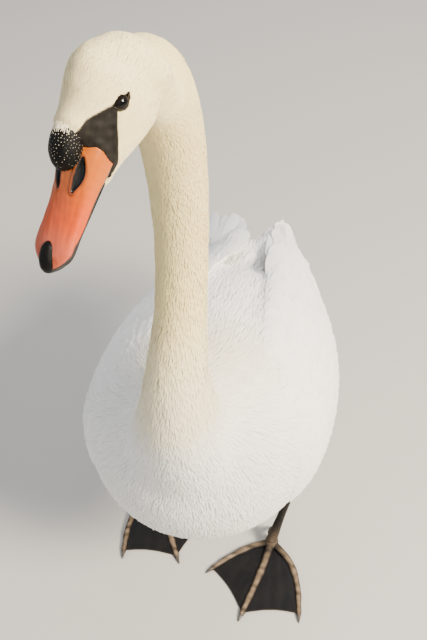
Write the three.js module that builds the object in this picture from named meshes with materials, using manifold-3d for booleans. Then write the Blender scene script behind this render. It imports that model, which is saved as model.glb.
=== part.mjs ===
// A life-size adult male mute swan (Cygnus olor), standing in mid-stride with its neck upright and its
// head turned to its right and lowered. It is a still model, so nothing is jointed.
//
// Units are millimetres. The swan faces -Y, its left side is +X and up is +Z. The soles lie on Z = 0,
// and the finished group is moved so that its origin is under the middle of its bounding box.
//
// Every rounded form is a "blob": a sphere whose points are moved onto a shape given by a function.
// The flesh (trunk, neck and head) is modelled whole and parted with thin cuts.

import * as THREE from "three";
import { mergeVertices } from "three/addons/utils/BufferGeometryUtils.js";
import Module from "manifold-3d";

const wasm = await Module();
wasm.setup();

// ---------------------------------------------------------------- driving dimensions

const GAP = 0.35; // clearance between pieces that touch
const CUT = 0.6; // thickness of the cuts that part the flesh

// Trunk: rows of [y, top z, bottom z, half width], from the breast to the root of the tail.
const TRUNK = [
  [-218, 466, 184, 122],
  [-150, 476, 170, 139],
  [-80, 481, 166, 143],
  [-10, 478, 170, 138],
  [60, 464, 180, 127],
  [120, 430, 198, 106],
  [180, 392, 224, 84],
  [240, 358, 252, 62],
  [300, 332, 282, 42],
];
const BREAST_ROUND = 125; // length over which the breast closes
const RUMP_ROUND = 60; // length over which the rump closes
const LEAN = { turn: 0.035, roll: 0.05 }; // the body's slight turn and roll to its left

// Neck: rows of [x, y, z, half width, half depth] along its centre line.
const NECK = [
  [-5, -100, 330, 112, 100],
  [-5, -150, 390, 80, 80],
  [-4, -184, 450, 50, 53],
  [-4, -186, 515, 35, 39],
  [-4, -164, 590, 27, 30],
  [-4, -154, 670, 26, 29],
  [-4, -163, 755, 27.5, 30],
  [-4, -187, 821, 28.5, 32],
  [-5, -221, 867, 29, 32],
  [-5, -254, 889, 26, 28.5],
  [-5, -288, 899, 21, 23],
];

// Head: its own frame has its origin midway between the eyes. +F runs forward along the bill's edge,
// +L to the swan's left and +U to the crown.
const HEAD_PLACE = { eyes: [-12.5, -310.9, 901.8], yaw: 18.7, pitch: 42.9, roll: 6.25 };
// Rows of [f, top u, bottom u, half width].
const CRANIUM = [
  [-46, 14, -28, 15],
  [-36, 23, -40, 21],
  [-24, 29, -50, 24.5],
  [-12, 30, -55, 25.5],
  [0, 27.3, -54, 24.8],
  [12, 23.5, -50, 23],
  [22, 19.5, -46, 21],
  [31, 13.5, -42, 19],
  [38, 1, -39, 17],
  [46, -10, -37, 15.4],
  [58, -18, -33, 11.5],
];
const UPPER_BILL = [
  [29, 4, -22, 18],
  [42, 2, -23, 17.2],
  [56, -3, -23.5, 16.4],
  [70, -8, -24, 16.2],
  [86, -11, -24.5, 16.3],
  [100, -12.5, -25, 16.4],
  [110, -14.5, -26, 15.2],
  [120, -19, -27.5, 10],
];
const LOWER_BILL = [
  [38, -20, -31, 13.4],
  [60, -21, -31, 12.8],
  [85, -22, -30, 12.8],
  [104, -23.5, -29.5, 12],
  [116, -25, -29, 7],
];
const NAIL = { f: 111.5, u: -19.5, length: 10, width: 7, height: 6.8, tilt: -30 };
const KNOB = { f: 40, u: 9, length: 16.5, width: 11.8, height: 11.5, tilt: -22 };
const EYE = { f: -0.8, u: 1.7, l: 18.9, radius: 6.6 };

// Folded wing: rows of [y, outermost x, its z, top edge x, top edge z, low edge z, tuck, half thickness].
// The wing is a bent lens. Its middle line climbs from the low edge, tucked in under the outermost
// point, and curls over to the top edge beside the spine.
const WING = [
  [-142, 133, 326, 72, 418, 274, 6, 4],
  [-108, 142, 321, 60, 446, 252, 14, 9],
  [-60, 146, 318, 48, 467, 238, 20, 12],
  [0, 144, 318, 40, 472, 230, 20, 12.5],
  [60, 132, 322, 32, 464, 234, 18, 11.5],
  [120, 107, 331, 26, 449, 250, 14, 10],
  [180, 80, 344, 19, 430, 282, 8, 8],
  [235, 53, 357, 15, 408, 318, 4, 5],
  [282, 36, 368, 14, 390, 345, 2, 3],
];
const SPLAY = { left: -6, right: 34 }; // how far each wing's rear end stands out from the spine
const SHOULDER = { left: 1.2, right: 1.5 }; // how soon each wing curls in over the back
// Long inner feathers that round off each wing: rows of [root x, y, z, tip x, y, z, half width].
const TERTIALS = {
  left: [
    [42, 176, 402, 14, 294, 384, 13],
    [56, 160, 378, 31, 270, 364, 13],
  ],
  right: [
    [-52, 176, 424, -62, 296, 387, 12],
    [-66, 170, 406, -75, 296, 382, 12],
    [-80, 160, 384, -86, 286, 374, 12],
  ],
};

// Flight feathers that show behind the wing, and the tail.
const PRIMARIES = { count: 4, root: [18, 214, 330], tip: [16, 384, 292], step: 24, spread: 7, width: 13, thick: 2 };
const TAIL = { count: 7, root: [0, 262, 318], length: 190, droop: 27, fan: 34, shorter: 64, width: 19, thick: 2 };

// Legs: hock and foot-root positions, and where the thigh disappears into the flank.
const LEGS = {
  left: { side: 1, hip: [92, -30, 262], hock: [111, 22, 122], root: [87, -19, 18], turn: 9 },
  right: { side: -1, hip: [-92, 20, 262], hock: [-112, 76, 123], root: [-111, 37, 18], turn: 29 },
};
// Toes: angle from the middle toe, positive outward; length; radius at the root; bow, positive outward.
const TOES = {
  inner: { angle: -42, length: 104, radius: 5.6, bow: -8 },
  middle: { angle: 0, length: 131, radius: 6.4, bow: 2 },
  outer: { angle: 38, length: 127, radius: 5.8, bow: 17 },
};
const WEB_THICK = 1.6;
const CLAW = { length: 13, radius: 3.4 };
const HIND_TOE = { length: 24, radius: 3.6, height: 14 };

// ---------------------------------------------------------------- small tools

const degrees = THREE.MathUtils.degToRad;
const X_AXIS = new THREE.Vector3(1, 0, 0);

// A smooth function through rows whose first column is the position: t -> the other columns.
function through(rows) {
  const at = new Float32Array(rows.map((row) => row[0]));
  const width = rows[0].length - 1;
  const values = new Float32Array(rows.flatMap((row) => row.slice(1)));
  const curve = new THREE.CubicInterpolant(at, values, width, new Float32Array(width));
  return (t) => Array.from(curve.evaluate(t));
}

// 0 at an end, rising to 1 over the given length as a quarter of an ellipse.
function rounding(distance, length) {
  const short = Math.max(0, 1 - distance / length);
  return Math.sqrt(Math.max(0, 1 - short * short));
}

// How far a grown form reaches aside between its two ends, and onward at them.
function growth(share, grow) {
  const end = share === 0 || share === 1;
  return { aside: end ? 0 : grow, onward: end ? grow * Math.sign(share - 0.5) : 0 };
}

// Spaces stations closer together at both ends.
const eased = (v) => (1 - Math.cos(Math.PI * v)) / 2;

// A point on a superellipse; power 2 is an ellipse and more is squarer. The lower half has its own power.
function superellipse(angle, wide, high, power = 2, lowPower = power) {
  const c = Math.cos(angle);
  const s = Math.sin(angle);
  const bend = 2 / (s < 0 ? lowPower : power);
  return [wide * Math.sign(c) * Math.abs(c) ** bend, high * Math.sign(s) * Math.abs(s) ** bend];
}

// A closed geometry: a sphere whose point at (angle round, share along) is moved to shape(angle, share).
function blob(shape, around, along) {
  const geometry = new THREE.SphereGeometry(1, around, along);
  const uv = geometry.getAttribute("uv");
  const position = geometry.getAttribute("position");
  for (let i = 0; i < position.count; i++) {
    const ring = Math.round(uv.getY(i) * along);
    const share = ring / along;
    const end = ring === 0 || ring === along;
    const step = end ? 0 : (i % (around + 1)) % around;
    const point = shape((2 * Math.PI * step) / around, share);
    position.setXYZ(i, point.x, point.y, point.z);
  }
  return geometry;
}

// A geometry as a manifold-3d solid, turned the right way out.
function solid(geometry) {
  const bare = geometry.clone();
  bare.deleteAttribute("normal");
  bare.deleteAttribute("uv");
  const merged = mergeVertices(bare, 1e-4);
  const corners = Array.from(merged.index.array);
  const triangles = [];
  for (let i = 0; i < corners.length; i += 3) {
    const [a, b, c] = corners.slice(i, i + 3);
    if (a !== b && b !== c && c !== a) triangles.push(a, b, c);
  }
  const build = (list) =>
    new wasm.Manifold(
      new wasm.Mesh({
        numProp: 3,
        vertProperties: merged.getAttribute("position").array,
        triVerts: new Uint32Array(list),
      }),
    );
  const made = build(triangles);
  if (made.volume() > 0) return made;
  const turned = [];
  for (let i = 0; i < triangles.length; i += 3) turned.push(triangles[i], triangles[i + 2], triangles[i + 1]);
  return build(turned);
}

// A manifold-3d solid as a BufferGeometry.
function geometryOf(made) {
  const { vertProperties, triVerts, numProp, numVert } = made.getMesh();
  const position = new Float32Array(numVert * 3);
  for (let i = 0; i < numVert; i++) position.set(vertProperties.subarray(i * numProp, i * numProp + 3), i * 3);
  const geometry = new THREE.BufferGeometry();
  geometry.setAttribute("position", new THREE.BufferAttribute(position, 3));
  geometry.setIndex(new THREE.BufferAttribute(new Uint32Array(triVerts), 1));
  geometry.computeVertexNormals();
  return geometry;
}

const joined = (parts) => parts.reduce((whole, part) => whole.add(part));
const without = (whole, cutters) => cutters.reduce((left, cutter) => left.subtract(cutter), whole);

// The largest separate body of a solid, which drops crumbs left by a cut.
function largest(made) {
  return made.decompose().reduce((best, body) => (body.volume() > best.volume() ? body : best));
}

// The body, out of several, that holds most of a small ball about a point.
function bodyAt(bodies, point) {
  const ball = solid(new THREE.SphereGeometry(8, 8, 6).translate(point.x, point.y, point.z));
  const held = (body) => body.intersect(ball).volume();
  return bodies.reduce((best, body) => (held(body) > held(best) ? body : best));
}

// A thin square slab centred on a point, facing along a direction.
function slab(centre, direction, size, thickness = CUT) {
  const geometry = new THREE.BoxGeometry(size, size, thickness);
  const turn = new THREE.Quaternion().setFromUnitVectors(new THREE.Vector3(0, 0, 1), direction.clone().normalize());
  geometry.applyQuaternion(turn).translate(centre.x, centre.y, centre.z);
  return solid(geometry);
}

// ---------------------------------------------------------------- forms

// Where a point of the upright, straight body goes once the body is turned and rolled over its forward foot.
const onBody = (x, y, z) => new THREE.Vector3(x + LEAN.turn * y + LEAN.roll * (z - 330), y, z);

// A form lofted along one axis. rows are [position, top, bottom, half width]; place(l, f, u) maps the
// form's own left, forward and up to a point. rounds are the lengths over which the two ends close.
function lofted({ rows, place, rounds, around, along, power = 2, lowPower = power, grow = 0 }) {
  const at = through(rows);
  const first = rows[0][0] - grow;
  const last = rows[rows.length - 1][0] + grow;
  return solid(
    blob(
      (angle, share) => {
        const f = THREE.MathUtils.lerp(first, last, eased(share));
        const [top, bottom, half] = at(THREE.MathUtils.clamp(f, rows[0][0], rows[rows.length - 1][0]));
        const close = rounding(f - first, rounds[0]) * rounding(last - f, rounds[1]);
        const middle = (top + bottom) / 2;
        const [l, u] = superellipse(angle, (half + grow) * close, ((top - bottom) / 2 + grow) * close, power, lowPower);
        return place(l, f, middle + u);
      },
      around,
      along,
    ),
  );
}

const trunkForm = (grow = 0) =>
  lofted({
    rows: TRUNK,
    place: onBody,
    rounds: [BREAST_ROUND, RUMP_ROUND],
    around: 23,
    along: 15,
    power: 2.05,
    grow,
  });

// A tube along a curve whose rows are [x, y, z, half width, half depth]; width lies along X.
function tube({ rows, around, along, grow = 0, rounds = [12, 12] }) {
  const curve = new THREE.CatmullRomCurve3(rows.map(([x, y, z]) => new THREE.Vector3(x, y, z)));
  const sizes = through(rows.map(([, , , wide, deep], i) => [i / (rows.length - 1), wide, deep]));
  const length = curve.getLength();
  return solid(
    blob(
      (angle, share) => {
        const t = eased(share);
        const centre = curve.getPoint(t);
        const tangent = curve.getTangent(t);
        const side = X_AXIS.clone().addScaledVector(tangent, -tangent.x).normalize();
        const front = new THREE.Vector3().crossVectors(side, tangent);
        const [wide, deep] = sizes(t);
        const close = rounding(t * length, rounds[0]) * rounding((1 - t) * length, rounds[1]);
        const { aside, onward } = growth(share, grow);
        const [a, b] = superellipse(angle, wide * close + aside, deep * close + aside);
        return centre.addScaledVector(side, a).addScaledVector(front, b).addScaledVector(tangent, onward);
      },
      around,
      along,
    ),
  );
}

const neckForm = (grow = 0) => tube({ rows: NECK, around: 15, along: 22, rounds: [40, 16], grow });

// The head's frame: turned to the swan's right, then lowered, then tilted about its own forward line.
const yaw = degrees(HEAD_PLACE.yaw);
const pitch = degrees(HEAD_PLACE.pitch);
const headForward = new THREE.Vector3(
  -Math.sin(yaw) * Math.cos(pitch),
  -Math.cos(yaw) * Math.cos(pitch),
  -Math.sin(pitch),
);
const headLeft = new THREE.Vector3(Math.cos(yaw), -Math.sin(yaw), 0);
headLeft.applyAxisAngle(headForward, degrees(HEAD_PLACE.roll));
const headUp = new THREE.Vector3().crossVectors(headForward, headLeft);
const eyesMiddle = new THREE.Vector3(...HEAD_PLACE.eyes);
const onHead = (l, f, u) =>
  eyesMiddle.clone().addScaledVector(headLeft, l).addScaledVector(headForward, f).addScaledVector(headUp, u);

const craniumForm = (grow = 0) =>
  lofted({ rows: CRANIUM, place: onHead, rounds: [34, 8], around: 17, along: 12, power: 2.1, grow });
const upperBillForm = (grow = 0) =>
  lofted({ rows: UPPER_BILL, place: onHead, rounds: [4, 20], around: 14, along: 10, power: 2.1, lowPower: 4, grow });
const lowerBillForm = (grow = 0) =>
  lofted({ rows: LOWER_BILL, place: onHead, rounds: [4, 20], around: 10, along: 7, power: 2.3, grow });

// An ellipsoid in the head's frame, tipped forward by tilt degrees.
function headEllipsoid({ l = 0, f, u, length, width, height, tilt = 0, grow = 0, around = 10, along = 8 }) {
  const tip = degrees(tilt);
  return solid(
    blob(
      (angle, share) => {
        const down = Math.PI * share;
        const a = (width + grow) * Math.sin(down) * Math.cos(angle);
        const c = (height + grow) * Math.sin(down) * Math.sin(angle);
        const b = -(length + grow) * Math.cos(down);
        return onHead(l + a, f + b * Math.cos(tip) - c * Math.sin(tip), u + b * Math.sin(tip) + c * Math.cos(tip));
      },
      around,
      along,
    ),
  );
}

const knobForm = (grow = 0) => headEllipsoid({ ...KNOB, grow, around: 12, along: 9 });
const nailForm = (grow = 0) => headEllipsoid({ ...NAIL, grow, around: 10, along: 7 });
const eyeForm = (side, grow = 0) =>
  headEllipsoid({
    l: side * EYE.l,
    f: EYE.f,
    u: EYE.u,
    length: EYE.radius,
    width: EYE.radius,
    height: EYE.radius,
    grow,
    around: 9,
    along: 7,
  });

// A point of the folded wing's middle line at share 0 (low edge) to 1 (top edge), as [x, z].
function wingLine([outX, outZ, topX, topZ, lowZ, tuck], share, shoulder) {
  const split = 0.36;
  if (share < split) {
    const down = 1 - share / split;
    return [outX - tuck * down * down, outZ - (outZ - lowZ) * down];
  }
  const turn = ((share - split) / (1 - split)) * (Math.PI / 2);
  return [topX + (outX - topX) * Math.cos(turn) ** shoulder, outZ + (topZ - outZ) * Math.sin(turn)];
}

// A folded wing: at each station a lens along the middle line, half as thick at its edges as inside.
function wingForm(name, side, grow = 0) {
  const at = through(WING);
  const [front, rear] = [WING[0][0], WING[WING.length - 1][0]];
  return solid(
    blob(
      (angle, share) => {
        const y = THREE.MathUtils.lerp(front - grow, rear + grow, eased(share));
        const row = at(THREE.MathUtils.clamp(y, front, rear));
        const close = rounding(y - front + grow, 40) * rounding(rear + grow - y, 26);
        const place = 0.5 + 0.5 * close * Math.cos(angle);
        const splay = SPLAY[name] * Math.max(0, (y - 150) / 130) ** 1.5;
        const [x, z] = wingLine(row, place, SHOULDER[name]);
        const [ax, az] = wingLine(row, Math.max(0, place - 0.02), SHOULDER[name]);
        const [bx, bz] = wingLine(row, Math.min(1, place + 0.02), SHOULDER[name]);
        const rise = new THREE.Vector2(bx - ax, bz - az).normalize();
        const lens = (row[6] * close + grow) * Math.sin(angle);
        const edge = grow * Math.cos(angle);
        return onBody(side * (x + splay + rise.y * lens + rise.x * edge), y, z - rise.x * lens + rise.y * edge);
      },
      16,
      12,
    ),
  );
}

// A long flat feather from root to tip, its flat side facing up.
function blade({ root, tip, width, thick, up = new THREE.Vector3(0, 0, 1), sag = 0, grow = 0 }) {
  const along = new THREE.Vector3().subVectors(tip, root);
  const length = along.length();
  along.normalize();
  const across = new THREE.Vector3().crossVectors(up, along).normalize();
  const face = new THREE.Vector3().crossVectors(along, across);
  return solid(
    blob(
      (angle, share) => {
        const t = eased(share);
        const close = rounding(t * length, length * 0.3) * rounding((1 - t) * length, width * 1.4);
        const { aside, onward } = growth(share, grow);
        return root
          .clone()
          .addScaledVector(along, t * length + onward)
          .addScaledVector(across, (width * close + aside) * Math.cos(angle))
          .addScaledVector(face, (thick * close + aside) * Math.sin(angle) - sag * 4 * t * (1 - t));
      },
      6,
      4,
    ),
  );
}

const tertialForms = (name, grow = 0) =>
  TERTIALS[name].map(([rx, ry, rz, tx, ty, tz, width]) =>
    blade({
      root: onBody(rx, ry, rz),
      tip: onBody(tx, ty, tz),
      width,
      thick: 2.2,
      up: new THREE.Vector3(rx / 60, 0, 1),
      grow,
    }),
  );

const wholeWing = (name, side, grow = 0) => joined([wingForm(name, side, grow), ...tertialForms(name, grow)]);

function primariesForm(side, grow = 0) {
  const [rx, ry, rz] = PRIMARIES.root;
  const [tx, ty, tz] = PRIMARIES.tip;
  const blades = [];
  for (let i = 0; i < PRIMARIES.count; i++) {
    const out = PRIMARIES.spread * i;
    blades.push(
      blade({
        root: onBody(side * (rx + out), ry, rz - out / 2),
        tip: onBody(side * (tx + out), ty - PRIMARIES.step * i, tz - out / 2),
        width: PRIMARIES.width,
        thick: PRIMARIES.thick,
        up: new THREE.Vector3(side * 0.5, 0, 1),
        sag: -8,
        grow,
      }),
    );
  }
  return joined(blades);
}

function tailForm(grow = 0) {
  const root = onBody(...TAIL.root);
  const blades = [];
  for (let i = 0; i < TAIL.count; i++) {
    const place = i / (TAIL.count - 1) - 0.5; // -0.5 at one edge, 0.5 at the other
    const turn = degrees(TAIL.fan * place);
    const droop = degrees(TAIL.droop);
    const length = TAIL.length - TAIL.shorter * (2 * Math.abs(place)) ** 1.3;
    const along = new THREE.Vector3(Math.sin(turn), Math.cos(turn) * Math.cos(droop), -Math.sin(droop));
    const start = root.clone().add(new THREE.Vector3(34 * place, 0, 7 - 22 * Math.abs(place)));
    blades.push(
      blade({
        root: start,
        tip: start.clone().addScaledVector(along, length),
        width: TAIL.width,
        thick: TAIL.thick,
        up: new THREE.Vector3(place * 0.9, 0.4, 1),
        grow,
      }),
    );
  }
  return joined(blades);
}

// ---------------------------------------------------------------- legs and feet

const thighForm = ({ hip, hock }, grow = 0) => {
  const at = (share) => new THREE.Vector3(...hip).lerp(new THREE.Vector3(...hock), share).toArray();
  return tube({
    rows: [
      [...hip, 36, 44],
      [...at(0.45), 27, 34],
      [...at(0.8), 15, 18],
      [...at(0.97), 11, 12],
    ],
    around: 12,
    along: 8,
    rounds: [20, 10],
    grow,
  });
};

const shankForm = ({ hock, root }, grow = 0) => {
  const from = new THREE.Vector3(...hock);
  const to = new THREE.Vector3(...root);
  const up = from.clone().lerp(to, -0.12);
  const at = (share) => from.clone().lerp(to, share).toArray();
  return tube({
    rows: [
      [...up.toArray(), 8.5, 9.5],
      [...at(0), 9.5, 12],
      [...at(0.22), 6.4, 9],
      [...at(0.6), 5.8, 8],
      [...at(0.88), 7.5, 8.5],
      [...at(1.04), 8.5, 9],
    ],
    around: 9,
    along: 11,
    rounds: [8, 6],
    grow,
  });
};

// The same point, raised to the floor if it is below it, which leaves a flat sole.
const onFloor = (point) => point.setZ(Math.max(0, point.z));

// A toe's centre line on the floor plan: from the foot's root, arched a little between its joints.
function toePath(leg, toe) {
  const turn = degrees(leg.turn);
  const out = degrees(toe.angle);
  const heading = new THREE.Vector3(-leg.side * Math.sin(turn - out), -Math.cos(turn - out), 0);
  const root = new THREE.Vector3(leg.root[0], leg.root[1], 0);
  const outward = new THREE.Vector3(-heading.y * leg.side, heading.x * leg.side, 0);
  const at = (share, height) =>
    root
      .clone()
      .addScaledVector(heading, toe.length * share)
      .addScaledVector(outward, toe.bow * Math.sin(Math.PI * share ** 0.8))
      .setZ(height);
  return new THREE.CatmullRomCurve3([at(0, 10), at(0.3, 5), at(0.62, 3.8), at(0.86, 3), at(1, 2.3)]);
}

function toeForm(leg, toe, grow = 0) {
  const curve = toePath(leg, toe);
  const knuckles = [0.36, 0.64, 0.88];
  return solid(
    blob(
      (angle, share) => {
        const centre = curve.getPoint(share);
        const tangent = curve.getTangent(share);
        const side = new THREE.Vector3(0, 0, 1).cross(tangent).normalize();
        const up = new THREE.Vector3().crossVectors(tangent, side);
        const swell = knuckles.reduce((sum, k) => sum + 0.14 * Math.exp(-(((share - k) / 0.05) ** 2)), 0);
        const taper = toe.radius * (1 - 0.45 * share) * (1 + swell);
        const close = rounding(share * toe.length, 6) * rounding((1 - share) * toe.length, 5);
        const { aside, onward } = growth(share, grow * 1.2);
        const size = taper * close + aside;
        return onFloor(
          centre
            .addScaledVector(side, size * Math.cos(angle))
            .addScaledVector(up, size * 0.9 * Math.sin(angle))
            .addScaledVector(tangent, onward),
        );
      },
      6,
      7,
    ),
  );
}

// The web between two toes: a sheet whose front edge is scooped back between their tips.
function webForm(leg, one, two, grow = 0) {
  const a = toePath(leg, one);
  const b = toePath(leg, two);
  const reach = 0.93;
  const across = 3;
  const forward = 3;
  const shape = new THREE.BoxGeometry(1, 1, 1, across, forward, 1);
  const position = shape.getAttribute("position");
  for (let i = 0; i < position.count; i++) {
    const u = position.getX(i) + 0.5;
    const scoop = 1 - 0.09 * Math.sin(Math.PI * u);
    const v = 0.04 + (position.getY(i) + 0.5) * (reach * scoop + grow / 100 - 0.04);
    const point = a.getPoint(v).lerp(b.getPoint(v), u);
    const lift = 3.6 * (1 - v) - 1.4 * Math.sin(Math.PI * u) * v;
    const middle = Math.max(WEB_THICK * 0.75, 2.2 + lift);
    position.setXYZ(i, point.x, point.y, middle + position.getZ(i) * (WEB_THICK + 2 * grow));
  }
  return solid(shape);
}

// The two webs and three toes of a foot.
const footParts = (leg, grow = 0) => [
  ...Object.values(TOES).map((toe) => toeForm(leg, toe, grow)),
  webForm(leg, TOES.inner, TOES.middle, grow),
  webForm(leg, TOES.middle, TOES.outer, grow),
];

function footForm(leg) {
  const pad = solid(
    blob(
      (angle, share) => {
        const ring = Math.sin(Math.PI * share);
        const height = 9 - 11 * Math.cos(Math.PI * share);
        return onFloor(
          new THREE.Vector3(
            leg.root[0] + 10.5 * ring * Math.cos(angle),
            leg.root[1] + 12.5 * ring * Math.sin(angle),
            height,
          ),
        );
      },
      9,
      6,
    ),
  );
  return joined([pad, ...footParts(leg)]);
}

function clawForm(leg, toe) {
  const curve = toePath(leg, toe);
  const tip = curve.getPoint(1);
  const along = curve.getTangent(1).setZ(0).normalize();
  const side = new THREE.Vector3(0, 0, 1).cross(along);
  return solid(
    blob(
      (angle, share) => {
        const size = CLAW.radius * (1 - share) ** 0.7 * (share > 0 ? 1 : 0);
        const drop = 1.8 * share * share;
        return onFloor(
          tip
            .clone()
            .addScaledVector(along, CLAW.length * share - 3)
            .addScaledVector(side, size * 0.8 * Math.cos(angle))
            .setZ(3.1 - drop + size * 0.75 * Math.sin(angle)),
        );
      },
      6,
      4,
    ),
  );
}

function hindToeForm(leg) {
  const turn = degrees(leg.turn);
  const back = new THREE.Vector3(leg.side * Math.sin(turn) * 0.4, Math.cos(turn), 0).normalize();
  const start = new THREE.Vector3(leg.root[0] - leg.side * 5, leg.root[1] + 6, HIND_TOE.height + 6);
  const end = start.clone().addScaledVector(back, HIND_TOE.length).setZ(5);
  const mid = start.clone().lerp(end, 0.55).setZ(HIND_TOE.height);
  const size = HIND_TOE.radius;
  return tube({
    rows: [
      [...start.toArray(), size, size],
      [...mid.toArray(), size * 1.1, size * 1.1],
      [...end.toArray(), size * 0.45, size * 0.5],
    ],
    around: 7,
    along: 6,
    rounds: [4, 3],
  });
}

// ---------------------------------------------------------------- assembly

const finish = (color, roughness) => new THREE.MeshStandardMaterial({ color, roughness, metalness: 0 });
const plumage = finish(0xf4efe4, 0.85);
const flightFeather = finish(0xfaf8f2, 0.7);
const orangeHorn = finish(0xf07a2e, 0.35);
const blackSkin = finish(0x17161a, 0.45);
const eyeball = finish(0x120c0a, 0.05);
const legSkin = finish(0x2d2c30, 0.6);
const clawHorn = finish(0x3a3532, 0.5);

const swan = new THREE.Group();
swan.name = "mute_swan";

function addPiece(name, made, material) {
  const mesh = new THREE.Mesh(geometryOf(largest(made)), material);
  mesh.name = name;
  swan.add(mesh);
}

// The flesh, whole, then parted at the base of the neck, twice along it and behind the head.
const neckPoints = NECK.map(([x, y, z]) => new THREE.Vector3(x, y, z));
const flesh = joined([trunkForm(), neckForm(), craniumForm()]);
const fleshGrown = joined([trunkForm(GAP), neckForm(GAP)]);
const neckBaseCut = slab(new THREE.Vector3(0, -176, 434), new THREE.Vector3(0, -0.5, 0.87), 250);
const neckCuts = [
  slab(new THREE.Vector3(-4, -164, 590), new THREE.Vector3(0, 0.25, 1), 110),
  slab(new THREE.Vector3(-4, -161, 740), new THREE.Vector3(0, -0.13, 1), 90),
  slab(new THREE.Vector3(-7, -222, 878), new THREE.Vector3(-0.06, -0.6, 0.8), 92),
];
const parted = without(flesh, [neckBaseCut, ...neckCuts]).decompose();

const upperBill = upperBillForm();
const upperBillGrown = upperBillForm(GAP);
const billCutters = [upperBillGrown, lowerBillForm(GAP), knobForm(GAP), eyeForm(1, GAP), eyeForm(-1, GAP)];

addPiece("trunk", bodyAt(parted, new THREE.Vector3(0, 60, 330)), plumage);
addPiece("neck_lower", bodyAt(parted, new THREE.Vector3(-4, -184, 530)), plumage);
addPiece("neck_middle", bodyAt(parted, neckPoints[5]), plumage);
addPiece("neck_upper", bodyAt(parted, neckPoints[7]), plumage);
addPiece("head", without(bodyAt(parted, onHead(0, -10, 0)), billCutters), plumage);

addPiece("bill_upper", without(upperBill, [nailForm(GAP), knobForm(GAP)]), orangeHorn);
addPiece("bill_lower", without(lowerBillForm(), [upperBillGrown, nailForm(GAP)]), blackSkin);
addPiece("bill_knob", knobForm(), blackSkin);
addPiece("bill_nail", nailForm(), blackSkin);
addPiece("eye_left", eyeForm(1), eyeball);
addPiece("eye_right", eyeForm(-1), eyeball);

const tailGrown = tailForm(GAP);
addPiece("tail", without(tailForm(), [fleshGrown]), flightFeather);

for (const [name, leg] of Object.entries(LEGS)) {
  const wingGrown = wholeWing(name, leg.side, GAP);
  addPiece(`wing_${name}`, without(wholeWing(name, leg.side), [fleshGrown, tailGrown]), flightFeather);
  addPiece(
    `primaries_${name}`,
    without(primariesForm(leg.side), [wingGrown, fleshGrown, tailGrown]),
    flightFeather,
  );

  const foot = footForm(leg);
  const shankGrown = shankForm(leg, GAP);
  addPiece(`thigh_${name}`, without(thighForm(leg), [fleshGrown, wingGrown]), plumage);
  addPiece(`shank_${name}`, without(shankForm(leg), [thighForm(leg, GAP)]), legSkin);
  const claws = Object.entries(TOES).map(([toeName, toe]) => [toeName, clawForm(leg, toe)]);
  const footGrown = footParts(leg, GAP);
  addPiece(`foot_${name}`, without(foot, [shankGrown]), legSkin);
  for (const [toeName, claw] of claws) addPiece(`claw_${name}_${toeName}`, without(claw, footGrown), clawHorn);
  addPiece(`hind_toe_${name}`, without(hindToeForm(leg), [shankGrown, foot]), legSkin);
}

// The origin is on the floor under the middle of the bounding box.
const bounds = new THREE.Box3().setFromObject(swan);
const middle = bounds.getCenter(new THREE.Vector3());
swan.position.set(-middle.x, -middle.y, -bounds.min.z);

export default swan;
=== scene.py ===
"""A life-size mute swan, dressed: one skin, plumage of solid vanes, bill, eyes, legs and webbed feet.

Sizes in the tables are millimetres in the swan's own build frame, which faces -Y with its left side on +X
and its soles on Z = 0. `Place` carries them into the row frame, in metres.
"""

import logging
import math
from contextlib import contextmanager
from dataclasses import dataclass, field
from enum import Enum
from typing import Any, Callable, Iterator, Sequence

import bmesh
import bpy
import numpy as np
from mathutils import Matrix, Vector
from mathutils.bvhtree import BVHTree


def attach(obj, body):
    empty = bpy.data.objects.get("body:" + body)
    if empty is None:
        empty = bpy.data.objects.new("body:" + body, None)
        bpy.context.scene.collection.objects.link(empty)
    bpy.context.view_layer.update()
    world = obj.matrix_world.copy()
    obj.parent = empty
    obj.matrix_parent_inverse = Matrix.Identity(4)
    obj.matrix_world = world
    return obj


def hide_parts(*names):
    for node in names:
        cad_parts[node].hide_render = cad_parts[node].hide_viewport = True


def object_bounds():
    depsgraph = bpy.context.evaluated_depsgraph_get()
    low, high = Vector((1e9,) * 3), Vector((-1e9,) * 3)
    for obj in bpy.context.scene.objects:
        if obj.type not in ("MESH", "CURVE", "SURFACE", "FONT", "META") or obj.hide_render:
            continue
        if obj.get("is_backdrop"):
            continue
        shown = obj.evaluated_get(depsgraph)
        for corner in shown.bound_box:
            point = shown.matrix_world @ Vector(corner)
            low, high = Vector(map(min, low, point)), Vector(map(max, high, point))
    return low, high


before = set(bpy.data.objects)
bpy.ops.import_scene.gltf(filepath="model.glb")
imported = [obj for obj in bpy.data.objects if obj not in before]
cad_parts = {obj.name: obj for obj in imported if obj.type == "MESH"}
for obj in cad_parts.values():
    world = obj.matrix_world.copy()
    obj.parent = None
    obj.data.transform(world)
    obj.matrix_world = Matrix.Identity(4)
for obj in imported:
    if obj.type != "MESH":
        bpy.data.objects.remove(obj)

LOG = logging.getLogger("swan")
Array = np.ndarray
Object = bpy.types.Object
Material = bpy.types.Material
Tree = bpy.types.NodeTree
Socket = bpy.types.NodeSocket
Triple = tuple[float, float, float]
Table = tuple[tuple[float, ...], ...]
MM = 0.001
CAD_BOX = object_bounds()


# ---- number tools


def unit(vectors: Array) -> Array:
    """Vectors scaled to length one along their last axis."""
    return vectors / np.maximum(np.linalg.norm(vectors, axis=-1, keepdims=True), 1e-12)


def vec(*parts: Any) -> Array:
    """Coordinates side by side on a new last axis; plain numbers are spread over the arrays."""
    return np.stack(np.broadcast_arrays(*parts), -1)


def mixed(one: Array, two: Array, share: Array) -> Array:
    """Goes over from one value to another as the share goes from 0 to 1."""
    return one * (1 - share) + two * share


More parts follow.
